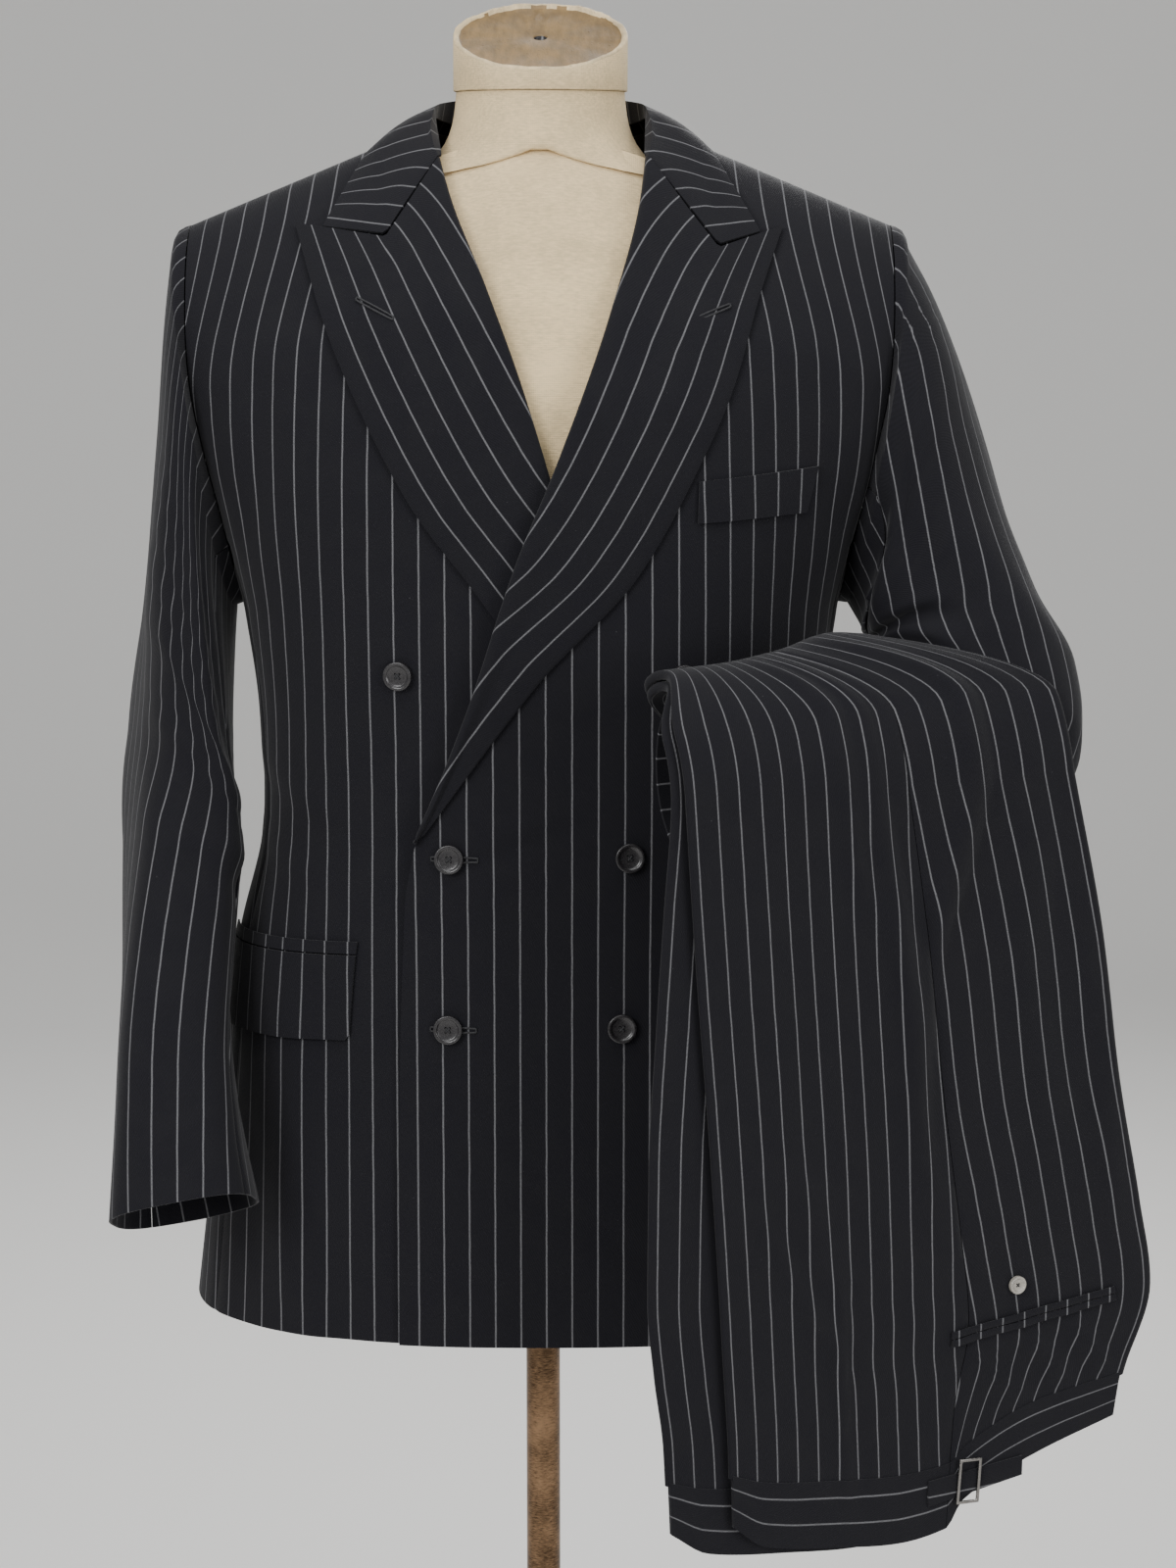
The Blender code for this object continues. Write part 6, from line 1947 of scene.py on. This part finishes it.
class ButtonOperator(bpy.types.Operator):
    """Front and sleeve buttons with their thread, and the worked buttonholes"""

    bl_idname = "suit.buttons"
    bl_label = "Buttons"

    def execute(self, context):
        trim = context.scene.suit_trim
        sew_buttons(trim.front_button, trim.button_thick, front_button_places())
        for word in ARMS:
            thick = trim.button_thick * SLEEVE_BUTTON_THICK
            sew_buttons(trim.sleeve_button, thick, sleeve_button_places(word))
        for name in ("middle", "lower"):
            spot = FRONT_BUTTONS[f"button_{name}_right"]
            lift = float(overlap_lift(spot.x, spot.z)) + 0.0005
            inner = (spot.x - 0.012, spot.z)
            outer = (spot.x + 0.019, spot.z - 0.0005)
            buttonhole(f"buttonhole_{name}", inner, outer, lift)
        return {"FINISHED"}


class TrousersOperator(bpy.types.Operator):
    """The folded legs, the waistband, the back pocket and the side adjuster"""

    bl_idname = "suit.trousers"
    bl_label = "Trousers"

    def execute(self, context):
        seam = SIDE_SEAM_SHARE
        for which in ("near", "far"):
            leg_piece(f"{which}_leg_front", which, 0.0, seam - LEG_SEAM_SHARE, True)
            leg_piece(f"{which}_leg_back", which, seam + LEG_SEAM_SHARE, 1.0, False)
        waistband("waistband_front", "near", 0.0, seam - LEG_SEAM_SHARE, 40)
        waistband("waistband_back", "near", seam + LEG_SEAM_SHARE, 1.0, 34)
        waistband("waistband_far", "far", 0.0, 1.0, 60)
        leg_patch("back_pocket_jet_upper", POCKET_JET_UPPER, 6, 40, JET_WALL)
        leg_patch("back_pocket_jet_lower", POCKET_JET_LOWER, 6, 40, JET_WALL)
        leg_patch("adjuster_strap", STRAP, 8, 24, FLAP_WALL, False)
        wire_buckle("adjuster_buckle")
        at = leg_front("near", *POCKET_BUTTON, LEG_OUT["near"] + LEG_THICK + PATCH_LIFT)
        places = [("back_pocket_button", at, DRAPE_AHEAD)]
        sew_buttons(POCKET_BUTTON_WIDE, POCKET_BUTTON_THICK, places, "grey_horn")
        return {"FINISHED"}


class FormOperator(bpy.types.Operator):
    """The canvas torso, its neck and the neck's cap"""

    bl_idname = "suit.form"
    bl_label = "Dress form"

    def execute(self, context):
        form_body("form_body")
        neck_cap("neck_end")
        return {"FINISHED"}


class StandOperator(bpy.types.Operator):
    """Pole, socket and round base"""

    bl_idname = "suit.stand"
    bl_label = "Stand"

    def execute(self, context):
        low = SOCKET_TOP - SOCKET_HEIGHT
        socket = (
            (SOCKET_RADIUS * 0.86, low),
            (SOCKET_RADIUS * 0.94, low + 0.0012),
            (SOCKET_RADIUS, low + 0.005),
            (SOCKET_RADIUS, SOCKET_TOP - 0.001),
            (SOCKET_RADIUS * 0.97, SOCKET_TOP),
        )
        turned_piece("socket_collar", "pole_socket", socket, 64, "brushed_pole")
        tube = ((POLE_RADIUS, BASE_THICK + 0.0003), (POLE_RADIUS, 0.4), (POLE_RADIUS, low - 0.0003))
        turned_piece("pole_tube", "pole", tube, 64, "brushed_pole")
        plate = (
            (BASE_RADIUS - 0.003, 0.0),
            (BASE_RADIUS - 0.0008, 0.0008),
            (BASE_RADIUS, 0.003),
            (BASE_RADIUS, 0.008),
            (BASE_RADIUS - 0.0015, 0.0105),
            (BASE_RADIUS - 0.006, 0.012),
            (0.130, 0.0155),
            (0.060, 0.019),
            (0.034, 0.0208),
            (0.030, BASE_THICK),
            (0.014, BASE_THICK),
        )
        turned_piece("base_plate", "base", plate, 128, "brushed_base", 30)
        return {"FINISHED"}


class StageOperator(bpy.types.Operator):
    """Floor, lights and camera"""

    bl_idname = "suit.stage"
    bl_label = "Studio"

    def execute(self, context):
        settings = context.scene.suit_stage
        backdrop("studio_floor")
        area_light("key_light", (-1.9, -2.9, 2.6), (0.0, 0.0, 1.1), (1.6, 1.6), 95)
        area_light("fill_light", (2.3, -2.4, 1.7), (0.1, 0.0, 1.1), (1.6, 1.8), 48)
        area_light("rim_light", (0.6, 2.6, 2.6), (0.0, 0.0, 1.2), (1.8, 1.0), 60)
        area_light("top_light", (0.0, -0.6, 3.4), (0.0, 0.0, 1.0), (2.0, 2.0), 40)
        world = context.scene.world or bpy.data.worlds.new("studio")
        context.scene.world = world
        world.use_nodes = True
        sky = world.node_tree.nodes["Background"].inputs
        sky["Color"].default_value = (0.86, 0.87, 0.88, 1)
        sky["Strength"].default_value = 0.55
        data = bpy.data.cameras.new("photo_camera")
        data.lens = settings.lens
        data.sensor_width = 36
        data.clip_start = 0.05
        data.clip_end = 60
        camera = new_object("photo_camera", data)
        camera.location = settings.camera_at
        camera.rotation_euler = (math.radians(90) - settings.pitch, 0, 0)
        context.scene.camera = camera
        return {"FINISHED"}


class SuitPanel(bpy.types.Panel):
    """The suit's operators in the 3D view's sidebar"""

    bl_idname = "VIEW3D_PT_suit"
    bl_label = "Double-breasted suit"
    bl_space_type = "VIEW_3D"
    bl_region_type = "UI"
    bl_category = "Suit"

    def draw(self, context):
        for made in OPERATORS:
            self.layout.operator(made.bl_idname)


GROUPS = (
    ("suit_cloth", ClothSettings),
    ("suit_trim", TrimSettings),
    ("suit_form", FormSettings),
    ("suit_stage", StageSettings),
)
OPERATORS = (
    FormOperator,
    StandOperator,
    BodyOperator,
    CollarOperator,
    PocketOperator,
    SleeveOperator,
    ButtonOperator,
    TrousersOperator,
    StageOperator,
)


def register():
    for name, group in GROUPS:
        bpy.utils.register_class(group)
        setattr(bpy.types.Scene, name, bpy.props.PointerProperty(type=group))
    for made in (*OPERATORS, SuitPanel):
        bpy.utils.register_class(made)


def unregister():
    for made in reversed((*OPERATORS, SuitPanel)):
        bpy.utils.unregister_class(made)
    for name, group in reversed(GROUPS):
        delattr(bpy.types.Scene, name)
        bpy.utils.unregister_class(group)


def main():
    register()
    for made in OPERATORS:
        group, word = made.bl_idname.split(".")
        getattr(getattr(bpy.ops, group), word)()


if __name__ == "__main__":
    main()
